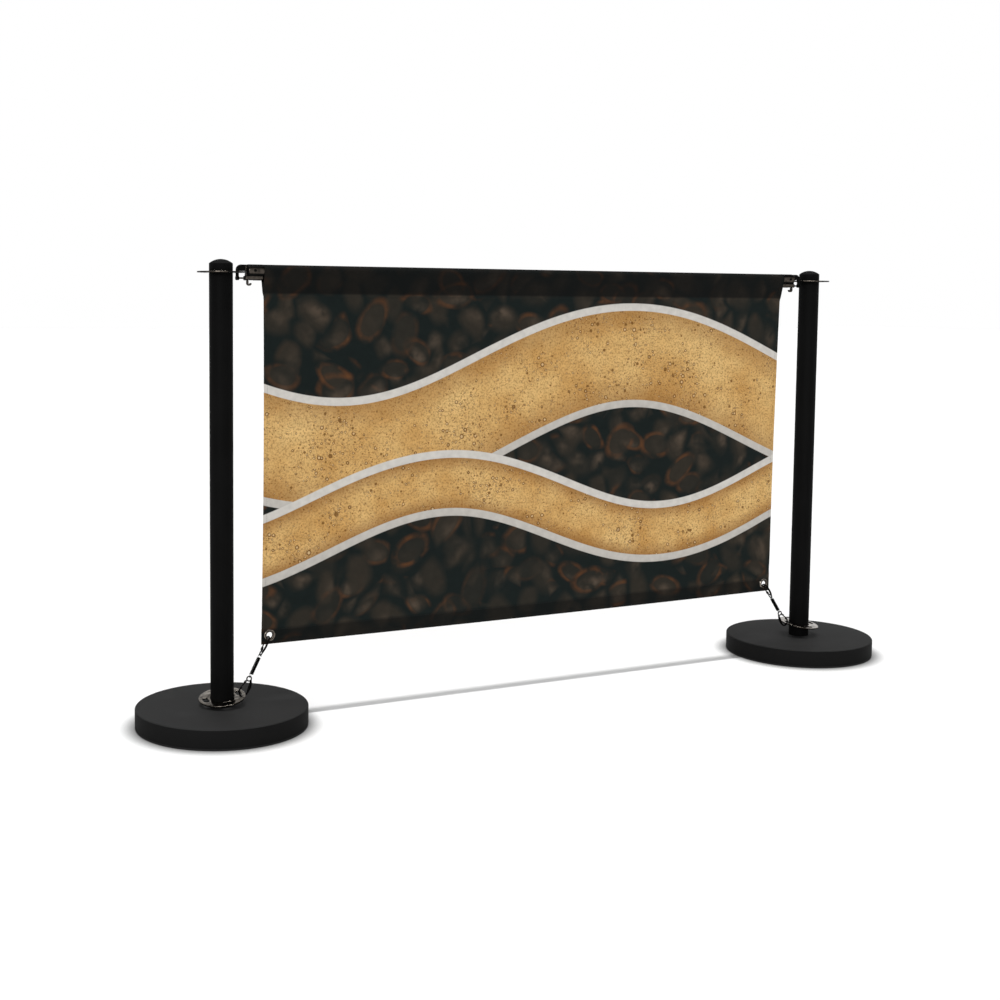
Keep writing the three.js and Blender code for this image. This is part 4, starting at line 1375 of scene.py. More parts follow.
@dataclass
class EndHook(HalfPart):
    """The rail's end hook: a sleeve, a latch housing below it, and a claw in front."""

    sleeve_radius: float = 13.0
    sleeve_end: float = 92.5
    nose_face: float = 54.6
    nose_radius: float = 6.0
    nose_length: float = 6.4
    latch_drop: float = 12.2
    housing_radius: float = 4.8
    housing_bore: float = 3.2
    lip: float = 50.6
    front_wall: float = 3.4
    claw_radius: float = 3.6
    pin: float = 36.0
    claw_rise: float = 12.75
    top_bend: float = 8.0
    gusset_thickness: float = 7.0
    gusset_bottom: float = 2.5
    knob_radius: float = 4.6
    knob_edge: float = 1.2
    latch_radius: float = 1.8
    collar_radius: float = 2.9
    collar_start: float = 56.0
    collar_length: float = 5.0
    travel: float = 11.0
    plug_face: float = 89.2
    coil_radius: float = 2.3
    coil_wire: float = 0.4
    coil_turns: int = 12
    neck: float = 3.4
    neck_pin: float = 1.2
    lever_radius: float = 5.2
    lever_thickness: float = 3.4
    lever_width: float = 7.0
    lever_drop: float = 10.8
    lever_end: float = math.radians(-18)
    screw_head: float = 3.2
    casting_voxel: float = 0.3
    lever_voxel: float = 0.16

    @property
    def low(self) -> float:
        """The height of the latch's axis."""
        return LAYOUT.top_ring_height - self.latch_drop

    @property
    def collar_end(self) -> float:
        """Where the latch's collar ends."""
        return self.collar_start + self.collar_length

    def build(self) -> None:
        """Makes the casting, the latch, its lever and spring, and the screw."""
        black = self.finishes.oxide
        casting = cast(self.named("hook_casting"), self.casting(), self.matrix, self.casting_voxel)
        carve(casting, self.bores(), self.matrix)
        self.piece(casting, RAIL, Slot.GUNMETAL, "hook")
        # Painted shade: the claw, the web and the faces that look up, down or aside are black; the fronts and
        # backs keep the gunmetal as a painted reflection.
        self.finishes.darken(casting, black, self.shaded)
        latch = make_object(self.named("latch_rod"), self.latch(), self.matrix)
        self.piece(latch, "trigger", Slot.GUNMETAL, "latch_bolt")
        # Painted shade: the latch is black but for its front and back.
        self.finishes.darken(latch, black, lambda middle, normal: abs(normal.y) < 0.7)
        lever = cast(self.named("thumb_curl"), self.lever(), self.matrix, self.lever_voxel)
        self.piece(lever, "trigger", Slot.GUNMETAL, "thumb_lever")
        # Painted shade: the lever is black but for its flat front and back.
        self.finishes.darken(lever, black, lambda middle, normal: abs(normal.y) < 0.95)
        self.build_coil()
        screw = make_object(self.named("hook_pan_screw"), self.screw(), self.matrix)
        carve(screw, self.screw_cross(), self.matrix)
        self.piece(screw, RAIL, Slot.ZINC, "hook_screw")
        head = -self.sleeve_radius * MM
        self.finishes.darken(screw, black, lambda middle, normal: middle.y < head)

    def build_coil(self) -> None:
        """Makes the latch spring, wound between the latch's collar and the plug."""
        start = self.collar_end + LAYOUT.gap
        length = self.plug_face - start - 2 * self.coil_wire
        count = self.coil_turns * 24
        points = []
        for i in range(count + 1):
            angle = 2 * math.pi * self.coil_turns * i / count
            across, up = self.coil_radius * math.cos(angle), self.coil_radius * math.sin(angle)
            points.append(at(start + self.coil_wire + length * i / count, self.low + up, across))
        coil = wound_tube(self.named("latch_coil"), points, self.matrix, self.coil_wire, 8)
        self.piece(coil, RAIL, Slot.SPRING_STEEL, "latch_spring")
        self.named("latch_slide")
        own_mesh(coil)

    def shaded(self, middle: Vector, normal: Vector) -> bool:
        """Tells which faces of the casting get painted shade: all but the fronts and backs, which keep the
        gunmetal as a painted reflection.

        Args:
            middle: The face's middle, in the row frame.
            normal: The face's normal.

        Returns:
            Whether it belongs to the claw or the web, or looks up, down or aside.
        """
        web_low = (self.low + self.housing_radius * 0.75) * MM
        web_high = (LAYOUT.rail_height - self.sleeve_radius * 0.78) * MM
        claw = (LAYOUT.post_spacing / 2 - self.nose_face + 1.5) * MM
        return abs(middle.x) > claw or web_low < middle.z < web_high or abs(normal.y) < 0.88

    def casting(self) -> list[Surface]:
        """The shapes that the casting is fused from.

        Returns:
            The sleeve, the housing, the web between them, the claw, its knob and its gusset.
        """
        nose = []
        for share in steps_of(0, 1, 12)[1:]:
            swell = math.sqrt(1 - (1 - share) ** 2)
            wide = self.nose_radius + (self.sleeve_radius - self.nose_radius) * swell
            nose.append((wide, self.nose_face + self.nose_length * share))
        profile = [(0, self.nose_face), (self.nose_radius, self.nose_face), *nose]
        profile += [(self.sleeve_radius, self.sleeve_end), (0, self.sleeve_end)]
        sleeve = levelled(turned(profile, 96), LAYOUT.rail_height)
        housing = rod(at(self.lip, self.low), at(self.sleeve_end, self.low), self.housing_radius, 64)
        web = block(
            at(self.lip + self.front_wall, self.low, -self.housing_radius),
            at(self.sleeve_end, LAYOUT.rail_height - self.sleeve_radius / 2, self.housing_radius),
        )
        return [sleeve, housing, web, self.claw(), self.knob(), self.gusset()]

    def claw(self) -> Surface:
        """The bent bar of the claw.

        Returns:
            The bar, from the sleeve to the knob.
        """
        top = LAYOUT.top_ring_height + self.claw_rise
        bend = self.top_bend
        corner = [at(p.x, p.y) for p in arc(self.pin + bend, top - bend, bend, math.pi / 2, math.pi, 14)]
        foot = [at(self.pin, self.low + self.knob_radius), at(self.pin, self.low)]
        path = [at(LAYOUT.rail_end - self.claw_radius, top), *corner, *foot]
        return swept(path, [self.claw_radius] * len(path), 32)

    def knob(self) -> Surface:
        """The claw's foot, which the latch closes against.

        Returns:
            A short rod along the latch's axis, with rounded edges.
        """
        start, end, soft = self.pin - self.claw_radius, self.pin + self.claw_radius, self.knob_edge
        side = [(p.x, p.y) for p in arc(self.knob_radius - soft, end - soft, soft, 0, math.pi / 2, 6)]
        back = [(r, start + end - h) for r, h in reversed(side)]
        return levelled(turned([(0, start), *back, *side, (0, end)], 64), self.low)

    def gusset(self) -> Surface:
        """The web that carries the claw's bar from the sleeve's nose.

        Returns:
            An upright plate.
        """
        top = LAYOUT.top_ring_height + self.claw_rise + self.claw_radius / 3
        bottom = LAYOUT.top_ring_height + self.gusset_bottom
        nose = self.nose_face + self.nose_length
        outline = [(self.pin + self.top_bend, top), (self.pin, bottom), (self.nose_face, bottom)]
        outline += [(nose, LAYOUT.rail_height), (nose, top)]
        return upright(prism([Vector(p) for p in outline], self.gusset_thickness))

    def bores(self) -> list[Surface]:
        """What is cut out of the casting.

        Returns:
            The rail's socket, the latch's bore, the spring's bore, the lever's slot and the screw's hole.
        """
        gap, axis, low, back = LAYOUT.gap, LAYOUT.rail_height, self.low, self.sleeve_end + 1
        half = self.neck / 2 + gap
        start = self.collar_start + self.collar_length / 2 - half
        screw, below = LAYOUT.screw_place, low - self.housing_radius - 1
        return [
            rod(at(LAYOUT.rail_end - gap, axis), at(back, axis), LAYOUT.rail_radius + gap, 96),
            rod(at(self.lip - 1, low), at(self.sleeve_end, low), self.latch_radius + gap, 48),
            rod(at(self.lip + self.front_wall, low), at(back, low), self.housing_bore, 48),
            block(at(start, below, -half), at(start + 2 * half + self.travel, low, half)),
            rod(
                at(screw, axis, -self.sleeve_radius - 1),
                at(screw, axis, -LAYOUT.rail_radius + 1.5),
                LAYOUT.screw_radius + gap,
            ),
        ]

    def latch(self) -> Surface:
        """The latch: a round rod with a chamfered tip and a collar.

        Returns:
            The rod along its axis.
        """
        tip, start, end = self.pin + self.claw_radius + LAYOUT.gap, self.collar_start, self.collar_end
        thin, thick, soft = self.latch_radius, self.collar_radius, 0.3
        profile = [(0, tip), (thin - 0.5, tip), (thin - 0.15, tip + 0.2), (thin, tip + 0.6), (thin, start)]
        profile += [(thick - soft, start), (thick, start + soft), (thick, end - soft), (thick - soft, end)]
        return levelled(turned([*profile, (0, end)], 48), self.low)

    def lever(self) -> list[Surface]:
        """The thumb lever: a neck in the slot and a curl with a rounded end.

        Returns:
            The curl, the neck and the pin that joins it to the latch.
        """
        neck = self.collar_start + self.collar_length / 2
        left = neck - self.neck / 2
        x, z = left + self.lever_radius, self.low - self.lever_drop
        inner, half = self.lever_radius - self.lever_thickness, self.lever_thickness / 2
        middle = self.lever_radius - half
        start, end = math.pi, 2 * math.pi + self.lever_end
        tip = Vector((x + middle * math.cos(self.lever_end), z + middle * math.sin(self.lever_end)))
        top = self.low - self.housing_radius - 2 * LAYOUT.gap
        outline = [
            Vector((left, top)),
            *arc(x, z, self.lever_radius, start, end, 26),
            *arc(tip.x, tip.y, half, self.lever_end, self.lever_end + math.pi, 10)[1:-1],
            *arc(x, z, inner, end, start, 20),
            Vector((left + self.lever_thickness, top)),
        ]
        ceiling = self.low - self.collar_radius - LAYOUT.gap
        limb = block(at(left, z, -self.neck / 2), at(left + self.neck, ceiling, self.neck / 2))
        pin = rod(at(neck, z), at(neck, self.low), self.neck_pin, 24)
        return [upright(prism(outline, self.lever_width)), limb, pin]

    def screw(self) -> Surface:
        """The hook's pan-head screw, lying along +Y at its place.

        Returns:
            The screw without its cross.
        """
        head, shank = self.screw_head, LAYOUT.screw_radius
        dome = [(p.x, p.y) for p in arc(0, -5.2, 7.4, math.radians(58), math.pi / 2, 10)]
        dome = [(head * r / dome[0][0], 0.8 + (h - dome[0][1]) * 0.85) for r, h in dome]
        dome[-1] = (0.0, dome[-1][1])
        profile = [(0.0, -8.0), (shank - 0.4, -8.0), (shank, -7.4), (shank, 0.0), (head - 0.3, 0.0)]
        place = at(LAYOUT.screw_place, LAYOUT.rail_height, -self.sleeve_radius - 0.15)
        turn = Matrix.Rotation(math.pi / 2, 4, "X")
        return turned([*profile, (head, 0.3), *dome], 48).moved(Matrix.Translation(place) @ turn)

    def screw_cross(self) -> list[Surface]:
        """The cross recess in the screw's head.

        Returns:
            Its two slots.
        """
        x, axis = LAYOUT.screw_place, LAYOUT.rail_height
        out, deep = -self.sleeve_radius - 3.4, -self.sleeve_radius - 0.9
        halves = ((1.6, 0.38), (0.38, 1.6))
        return [block(at(x - a, axis - b, out), at(x + a, axis + b, deep)) for a, b in halves]


@dataclass(frozen=True)
class SnapHook:
    """A snap hook in its own flat frame: length along X, its gate towards +Y."""

    wire: float = 2.0
    bow: float = 9.5
    nose: float = 3.8
    spine: float = 14.0
    spine_swell: float = 2.2
    eye_place: float = 29.0
    eye_radius: float = 5.2
    eye_wire: float = 1.4
    hinge_along: float = 21.4
    hinge_across: float = 4.6
    gate_wire: float = 1.5
    gate_waist: float = 0.06
    lug: float = 1.8
    lug_radius: float = 1.9
    cheek: float = 1.0
    rivet: float = 0.8
    rivet_head: float = 1.6
    rivet_rise: float = 0.6
    tongue: float = 1.2
    nose_gap: float = 0.6

    @property
    def hinge(self) -> Vector:
        """The gate's hinge."""
        return Vector((self.hinge_along, self.hinge_across, 0))

    def body(self) -> list[Surface]:
        """Bow, swelling spine, eye and lug.

        Returns:
            The shapes to fuse.
        """
        flat = [Vector((self.nose, self.bow)), *arc(0, 0, self.bow, math.pi / 2, 1.5 * math.pi, 36)]
        flat += [self.spine_place(i / 24) for i in range(1, 8)]
        path = [p.to_3d() for p in flat]
        eye_path = [p.to_3d() for p in arc(self.eye_place, 0, self.eye_radius, 0, 2 * math.pi, 48)]
        eye = swept(eye_path, [self.eye_wire] * len(eye_path), 20)
        ear = [
            *arc(self.hinge.x, self.hinge.y, self.lug_radius, math.pi / 2, 1.5 * math.pi, 14),
            Vector((self.eye_place - self.eye_radius, 0)),
            Vector((self.eye_place - self.eye_radius / 2, self.eye_radius * math.sqrt(3) / 2)),
        ]
        return [swept(path, [self.wire] * len(path), 24), self.spine_surface(), eye, prism(ear, self.lug)]

    def spine_place(self, share: float) -> Vector:
        """A point of the spine's middle line.

        Args:
            share: The point's place, from the bow at 0 to the eye at 1.

        Returns:
            The point.
        """
        start, end = Vector((0, -self.bow)), Vector((self.eye_place, -self.eye_radius))
        middle = Vector((self.spine, -self.bow - self.wire / 2))
        return start * (1 - share) ** 2 + middle * 2 * share * (1 - share) + end * share**2

    def spine_surface(self) -> Surface:
        """The spine: an oval bar, broadest halfway between the bow and the eye.

        Returns:
            The closed surface.
        """
        rows, sides = 24, 28
        surface = Surface(faces=tube_faces(rows + 1, sides))
        for i in range(rows + 1):
            share = i / rows
            taper = self.wire + (self.eye_wire - self.wire) * share
            half = taper + self.spine_swell * math.sin(math.pi * share)
            place = self.spine_place(share)
            for p in ring_of(1.0, sides):
                surface.points.append(Vector((place.x, place.y + half * p.x, taper * p.y)))
        return surface

    def gate(self) -> list[Surface]:
        """The gate's bar, its forked end and the tongue behind the nose.

        Returns:
            The shapes to fuse.
        """
        gap, tip = LAYOUT.gap, self.nose + self.nose_gap
        end = Vector((tip, self.bow - self.gate_wire / 10, 0))
        along = (end - self.hinge).normalized()
        across = Vector((-along.y, along.x, 0))
        radius, reach = self.lug_radius, self.lug_radius + 2 * gap

        def corner(a: float, b: float) -> Vector:
            """A point of the fork, along and across the gate."""
            return (self.hinge + along * a + across * b).to_2d()

        first, shares = self.hinge + along * reach, steps_of(0, 1, 10)
        path = [first + (end - first) * share for share in shares]
        radii = [self.gate_wire * (1.0 - self.gate_waist * math.sin(math.pi * share)) for share in shares]
        neck = [corner(2 * radius, -radius), corner(3 * radius, -self.gate_wire / 2)]
        neck += [corner(3 * radius, self.gate_wire / 2), corner(2 * radius, radius)]
        turn = math.atan2(along.y, along.x) + math.pi / 2
        cheek = prism([*arc(self.hinge.x, self.hinge.y, radius, turn, turn + math.pi, 14), *neck], self.cheek)
        offset = Vector((0, 0, self.lug / 2 + gap + self.cheek / 2))
        cheeks = [cheek.moved(Matrix.Translation(offset * sign)) for sign in (-1, 1)]
        root = [corner(reach + 0.25, -radius * 0.9), *neck, corner(reach + 0.25, radius * 0.9)]
        solid_root = prism(root, self.lug + 2 * gap + 2 * self.cheek)
        top = self.bow - self.wire - gap
        low, wire, back = top - self.tongue, self.gate_wire, self.nose + 2 * self.gate_wire
        tongue = block(Vector((self.nose - self.tongue, low, -wire)), Vector((back, top, wire)))
        bridge = block(Vector((tip, low, -wire / 2)), Vector((back, self.bow, wire / 2)))
        return [swept(path, radii, 20), *cheeks, solid_root, tongue, bridge]

    def pin(self) -> Surface:
        """The gate's rivet, with two peened heads.

        Returns:
            The rivet through the hinge.
        """
        face = self.lug / 2 + self.cheek + 2 * LAYOUT.gap
        wide, rise = self.rivet_head, self.rivet_rise
        up = [(wide * math.cos(a), face + rise * math.sin(a)) for a in (0.0, 0.5, 0.95, 1.3)]
        up.append((0.0, face + rise))
        down = [(r, -h) for r, h in reversed(up)]
        profile = [*down, (self.rivet, -face), (self.rivet, face), *up]
        return turned(profile, 28).moved(Matrix.Translation(self.hinge))


@dataclass
class Strap(HalfPart):
    """A strap: snap hook, tension spring and snap hook, from the eyelet to the lower plate."""

    banner: Banner
    snap: SnapHook = SnapHook()
    spring_wire: float = 0.65
    spring_radius: float = 3.7
    spring_pitch: float = 1.37
    loop_radius: float = 3.4
    loop_rise: float = 1.0
    loop_angle: float = math.radians(300)
    forging_voxel: float = 0.22
    gate_voxel: float = 0.18

    def build(self) -> None:
        """Makes the strap's seven pieces."""
        snap, gap = self.snap, LAYOUT.gap
        ring = RingPlate(self.finishes, self.side)
        eyelet = self.banner.eyelet_place(self.side)
        web_x = (ring.hole_circle + ring.hole_width / 2 + ring.radius) / 2
        web_width = ring.radius - ring.hole_circle - ring.hole_width / 2
        web = at(web_x, LAYOUT.lower_ring(self.side) + web_x * math.tan(ring.tilt_to_banner))
        down = (web - eyelet).normalized()
        to_post = Y_AXIS.cross(down).normalized()
        reach = self.banner.fabric + self.banner.eyelet_roll + 2 * gap
        dip = snap.bow - math.sqrt(snap.bow**2 - reach**2)
        in_hole = self.banner.eyelet_hole_radius - snap.wire - 2 * gap - dip
        upper = eyelet + down * (in_hole + snap.bow)
        web_reach = math.hypot(web_width, ring.thickness) / 2
        lower = web - down * (snap.bow - snap.wire - web_reach - gap)
        upper_eye, lower_eye = upper + down * snap.eye_place, lower - down * snap.eye_place
        self.build_snap(self.matrix @ framed(upper, down, Y_AXIS), "upper")
        self.build_snap(self.matrix @ framed(lower, -down, to_post), "lower")
        slack = snap.eye_radius - snap.eye_wire - self.spring_wire - gap
        path = self.spring_path((upper_eye - lower_eye).length - 2 * slack)
        place = self.matrix @ framed((upper_eye + lower_eye) / 2, to_post, Y_AXIS)
        spring = wound_tube(self.named("wound_spring"), path, place, self.spring_wire, 10)
        self.piece(spring, RAIL, Slot.SPRING_STEEL, "strap_spring")

    def build_snap(self, matrix: Matrix, end: str) -> None:
        """Makes one snap hook's body, gate and rivet.

        Args:
            matrix: What takes the snap hook's frame to the row frame.
            end: The strap's end, upper or lower.
        """
        name, hinge, black = f"{end}_snap", self.snap.hinge, self.finishes.oxide
        hole = rod(hinge - Z_AXIS * 3, hinge + Z_AXIS * 3, self.snap.rivet + LAYOUT.gap, 24)
        body = cast(self.named(f"{name}_forging"), self.snap.body(), matrix, self.forging_voxel)
        self.piece(carve(body, [hole], matrix), RAIL, Slot.GUNMETAL, name, black)
        gate = cast(self.named(f"{name}_forked_gate"), self.snap.gate(), matrix, self.gate_voxel)
        self.piece(carve(gate, [hole], matrix), f"{end}_gate", Slot.GUNMETAL, f"{name}_gate", black)
        rivet = make_object(self.named(f"{name}_peened_rivet"), self.snap.pin(), matrix)
        self.piece(rivet, RAIL, Slot.ZINC, f"{name}_rivet")

    def spring_path(self, span: float) -> list[Vector]:
        """The spring's wire: a loop, close turns and a loop across the first.

        Args:
            span: The spring's length over its loops' wire centres.

        Returns:
            The points of the wire, from the upper loop to the lower one.
        """
        body = span - 4 * self.loop_radius - 2 * self.loop_rise
        turns = int(body / self.spring_pitch) - 0.25
        count = round(turns * 24)
        coil = []
        for i in range(count + 1):
            angle = math.pi / 2 + 2 * math.pi * turns * i / count
            x, y = self.spring_radius * math.cos(angle), self.spring_radius * math.sin(angle)
            coil.append(Vector((x, y, body * i / count - body / 2)))
        first = self.loop(Y_AXIS, X_AXIS, -1, -body / 2)
        last = self.loop(X_AXIS, Y_AXIS, 1, body / 2)
        return [*reversed(first), *coil, *last]

    def loop(self, out: Vector, ahead: Vector, direction: int, start: float) -> list[Vector]:
        """An end loop that leaves the coil on one side and rounds the axis.

        Args:
            out: The side of the coil that it leaves.
            ahead: The way the wire heads there.
            direction: Up or down the spring.
            start: The height of the coil's end.

        Returns:
            The loop's points, away from the coil.
        """
        points = []
        for angle in steps_of(0, self.loop_angle, 24)[1:]:
            share = min(angle / (math.pi / 2), 1.0)
            settle = share * share * (3 - 2 * share)
            rise = self.loop_rise * settle + self.loop_radius * (1 - math.cos(angle))
            place = out * (self.spring_radius * (1 - settle)) + ahead * (self.loop_radius * math.sin(angle))
            points.append(place + Z_AXIS * (start + direction * rise))
        return points


@dataclass
class Banner(Part):
    """The banner: one sheet with a pocket on the rail, a bottom hem and side hems."""

    width: float = 1404.0
    fabric: float = 1.0
    cloth: float = 0.6
    layer_gap: float = 0.35
    pocket_depth: float = 51.0
    bottom: float = 168.0
    rise: float = 4.0
    shift_left: float = -4.0
    shift_right: float = -10.0
    hem: float = 34.0
    side_hem: float = 10.0
    side_gap: float = 0.1
    loop_radius: float = 12.5
    wave: float = 2.5
    waves: int = 3
    bow: float = 2.6
    droop: float = 2.6
    belly: float = 2.2
    drop_depth: float = 0.55
    drop_reach: float = 70.0
    pull_depth: float = 1.1
    pull_reach: float = 110.0
    pull_count: int = 13
    broad_depth: float = 0.5
    thread: float = 0.26
    stitch_out: float = 0.12
    eyelet_inset: float = 18.0
    eyelet_radius: float = 12.7
    eyelet_hole_radius: float = 7.0
    eyelet_wall: float = 0.5
    eyelet_roll: float = 1.4
    columns: int = 280

    @property
    def seam(self) -> float:
        """The height at which the pocket's two layers meet."""
        return LAYOUT.rail_height - self.pocket_depth

    @property
    def back(self) -> float:
        """The depth of the layer behind the front."""
        return self.cloth + self.layer_gap

    def eyelet_place(self, side: Side) -> Vector:
        """An eyelet's centre in its half-frame.

        Args:
            side: The eyelet's side.

        Returns:
            The centre, in millimetres.
        """
        shift, rise = (self.shift_left, 0.0) if side is Side.LEFT else (self.shift_right, self.rise)
        edge = LAYOUT.post_spacing / 2 - self.width / 2 + side.value * shift
        return at(edge + self.eyelet_inset, self.bottom + rise + self.eyelet_inset - self.fabric)

    def row_place(self, side: Side) -> Vector:
        """An eyelet's centre in row millimetres."""
        place = self.eyelet_place(side)
        return at(side.value * (place.x - LAYOUT.post_spacing / 2), place.z)

    def hung(self, x: float, y: float, z: float) -> Vector:
        """Where a point of the flat banner comes to hang, in row millimetres.

        Args:
            x: Across the banner, from its middle.
            y: The layer's place in depth.
            z: The height before hanging.

        Returns:
            The point.
        """
        down = held((self.seam - z) / (self.seam - self.bottom), 0.0, 1.0)
        across = x / self.width + 0.5
        hem_top = self.bottom + self.hem
        free = held((z - hem_top) / (self.seam - hem_top), 0.0, 1.0) * down
        wave = math.sin(2 * math.pi * self.waves * across) * math.sin(math.pi * free)
        shift = self.shift_left + (self.shift_right - self.shift_left) * across
        bow = self.bow * math.sin(math.pi * down) * (2 * across - 1) ** 3
        flare = across**2 - (1.0 + 1.7 * down) * (1 - across) ** 2
        sag = self.droop + self.belly * math.sin(math.pi * across)
        depth = self.wave * wave + self.creases(x, z, down)
        return at(x + down * shift - bow + flare, z + down * (self.rise * across - sag), y + depth)

    def creases(self, x: float, z: float, down: float) -> float:
        """Soft creases: short drops below the pocket, and pulls that fan out from the eyelets.

        Args:
            x: Across the banner, from its middle.
            z: The height before hanging.
            down: How far down the free cloth, from 0 at the seam to 1 at the foot.

        Returns:
            The depth to add, in millimetres.
        """
        if down <= 0:
            return 0.0
        below = self.seam - z
        drops = self.drop_depth * math.exp(-below / self.drop_reach) * (1 - math.exp(-below / 14))
        drops *= math.sin(x / 17.0 + 2.2 * math.sin(x / 83.0)) + 0.6 * math.sin(x / 7.3 + 1.0)
        pulls = 0.0
        for edge in (-1, 1):
            dx = self.width / 2 - edge * x - self.eyelet_inset
            dz = z - self.bottom - self.eyelet_inset
            distance = math.hypot(dx, dz)
            clear = held((distance - 13) / 40, 0.0, 1.0)
            fan = math.sin(math.atan2(dz, dx) * self.pull_count + edge)
            pulls += self.pull_depth * clear * math.exp(-distance / self.pull_reach) * fan
        broad = self.broad_depth * math.sin(x / 61.0 + z / 150.0) * math.sin(math.pi * down)
        edge_calm = min((self.width / 2 - abs(x)) / 20, 1.0)
        hem_calm = held((z - self.bottom - self.hem) / 25, 0.25, 1.0)
        return (drops + broad) * edge_calm * hem_calm + pulls * hem_calm

    def section(self) -> list[tuple[float, float, float]]:
        """The cloth's path from the hem's inner edge, down, up the front, round the rail and back.

        Returns:
            Each point's depth, height and place along the print.
        """
        back, low, seam, radius = self.back, self.bottom, self.seam, self.loop_radius
        points = [(back, low + self.hem * (1 - i / 5), -self.hem * (1 - i / 5)) for i in range(5)]
        points += [(back, low + 1.0, -0.5), (back * 0.6, low + 0.4, -0.2), (0.1, low + 0.8, 0.2)]
        points += [(0.0, z, z - low) for z in steps_of(low + 2, seam, 150)]
        slope = math.asin(radius / self.pocket_depth)
        reach = math.sqrt(self.pocket_depth**2 - radius**2)
        tangent = steps_of(0, reach, 9)[1:-1]
        start = seam - low
        for along in tangent:
            points.append((-along * math.sin(slope), seam + along * math.cos(slope), start + along))
        turn = math.pi + 2 * slope
        for turned_by in steps_of(0, turn, 32):
            angle = math.pi + slope - turned_by
            y, z = radius * math.cos(angle), LAYOUT.rail_height + radius * math.sin(angle)
            points.append((y, z, start + reach + radius * turned_by))
        end = start + 2 * reach + radius * turn
        for along in reversed(tangent):
            depth = max(along * math.sin(slope), back)
            points.append((depth, seam + along * math.cos(slope), end - along))
        return points + [(back, seam - drop, end + drop) for drop in (0.0, 3.0, 6.0, 9.0)]

    def build(self) -> None:
        """Makes the sheet, its stitches and its eyelets."""
        section = self.section()
        xs = steps_of(-self.width / 2, self.width / 2, self.columns)
        points = [self.hung(self.trimmed(x, z), y, z) for x in xs for y, z, _ in section]
        flat = [(x * MM, along * MM) for x in xs for _, _, along in section]
        surface = Surface(points, grid_faces(len(xs), len(section)))
        for edge in (-1, 1):
            strip, strip_flat = self.side_strip(edge)
            surface.add(strip)
            flat += strip_flat
        sheet = self.sheet_object(surface, flat)
        carve(sheet, [self.eyelet_hole(side) for side in Side], TO_METRES)
        self.hand_over(sheet, RAIL, Slot.BANNER_FABRIC, "banner")
        self.sew()
        for side in Side:
            self.build_eyelet(side)

    def trimmed(self, x: float, z: float) -> float:
        """The sheet is a little narrower than its pocket."""
        return x * (1 - held((self.seam + 2 - z) / 4, 0.0, 1.0) * 2.0 / (self.width / 2))

    def side_strip(self, edge: int) -> tuple[Surface, list[tuple[float, float]]]:
        """The folded hem behind one side edge.

        Args:
            edge: -1 for the left edge and 1 for the right one.

        Returns:
            The strip, and its points' places on the print.
        """
        heights = steps_of(self.bottom + self.hem + 1, self.seam - 10, 80)
        xs = [edge * (self.width / 2 - 2.6 - out) for out in steps_of(0, self.side_hem, 3)]
        points = [self.hung(x, self.cloth + self.side_gap, z) for x in xs for z in heights]
        flat = [(x * MM, (z - self.bottom) * MM) for x in xs for z in heights]
        return Surface(points, grid_faces(len(xs), len(heights))), flat

    def sheet_object(self, surface: Surface, flat: Sequence[tuple[float, float]]) -> Object:
        """The sheet as a mesh with a UV map in metres and the cloth's thickness.

        Args:
            surface: The sheet in row millimetres.
            flat: Each point's place on the flat print.

        Returns:
            The object.
        """
        obj = mesh_object("canvas_banner", surface.moved(TO_METRES).points, surface.faces)
        layer = obj.data.uv_layers.new(name="cloth")
        for loop in obj.data.loops:
            layer.data[loop.index].uv = flat[loop.vertex_index]
        obj.data.shade_smooth()
        thick = obj.modifiers.new("Cloth", "SOLIDIFY")
        thick.thickness = self.cloth * MM
        thick.offset = 0.0
        return apply_modifiers(obj)

    def eyelet_hole(self, side: Side) -> Surface:
        """The hole punched for an eyelet, in row millimetres."""
        place, radius = self.row_place(side), self.eyelet_hole_radius + self.eyelet_wall + LAYOUT.gap
        return rod(place - Y_AXIS * 6, place + Y_AXIS * 6, radius, 48)

    def sew(self) -> Object:
        """Sews the rows of stitches of the pocket and the hems, on both faces.

        Returns:
            The stitches.
        """
        out = self.cloth / 2 + self.stitch_out
        half = self.width / 2 - 3
        lines: list[list[Vector]] = []
        for z in (self.seam - 3, self.bottom + self.hem - 3):
            for y in (-out, self.back + out):
                lines.append([self.hung(x, y, z) for x in steps_of(-half, half, 240)])
        heights = steps_of(self.bottom + 3, self.seam - 6, 120)
        for x in (self.side_hem - self.width / 2, self.width / 2 - self.side_hem):
            for y in (-out, self.cloth + self.side_gap + out):
                lines.append([self.hung(x, y, z) for z in heights])
        obj = line_object("hem_stitches", lines, TO_METRES)
        sizes = {"Spacing": 4.0 * MM, "Length": 3.1 * MM, "Thread radius": self.thread * MM}
        stitch_tree().apply(obj, {**sizes, "Unevenness": 0.12, "Seed": 7})
        return self.hand_over(obj, RAIL, Slot.BANNER_FABRIC, finish=self.finishes.thread)

    def build_eyelet(self, side: Side) -> None:
        """Makes an eyelet and the washer behind it.

        Args:
            side: The eyelet's side.
        """
        face = self.fabric + LAYOUT.gap
        hole, rim, wall = self.eyelet_hole_radius, self.eyelet_radius, self.eyelet_wall
        middle, half = (hole + rim) / 2, (rim - hole) / 2
        turns = steps_of(0, math.pi, 18)
        profile = [(middle + half * math.cos(a), -face - self.eyelet_roll * math.sin(a)) for a in turns]
        profile += [(hole, face + 0.9), (hole + wall / 2, face + 1.0), (hole + wall, face + 0.9)]
        profile += [(hole + wall, -face), (rim, -face)]
        centre = self.row_place(side)
        matrix = TO_METRES @ Matrix.Translation(centre) @ Matrix.Rotation(-math.pi / 2, 4, "X")
        eyelet = make_object(f"{side.label}_rolled_eyelet", turned(profile, 64), matrix)
        self.hand_over(eyelet, RAIL, Slot.CHROME, f"{side.label}_eyelet")

        def funnel(point: Vector, normal: Vector) -> bool:
            """The faces that slope into the hole."""
            away = math.hypot(point.x - centre.x * MM, point.z - centre.z * MM)
            return away < (rim - 1.5) * MM
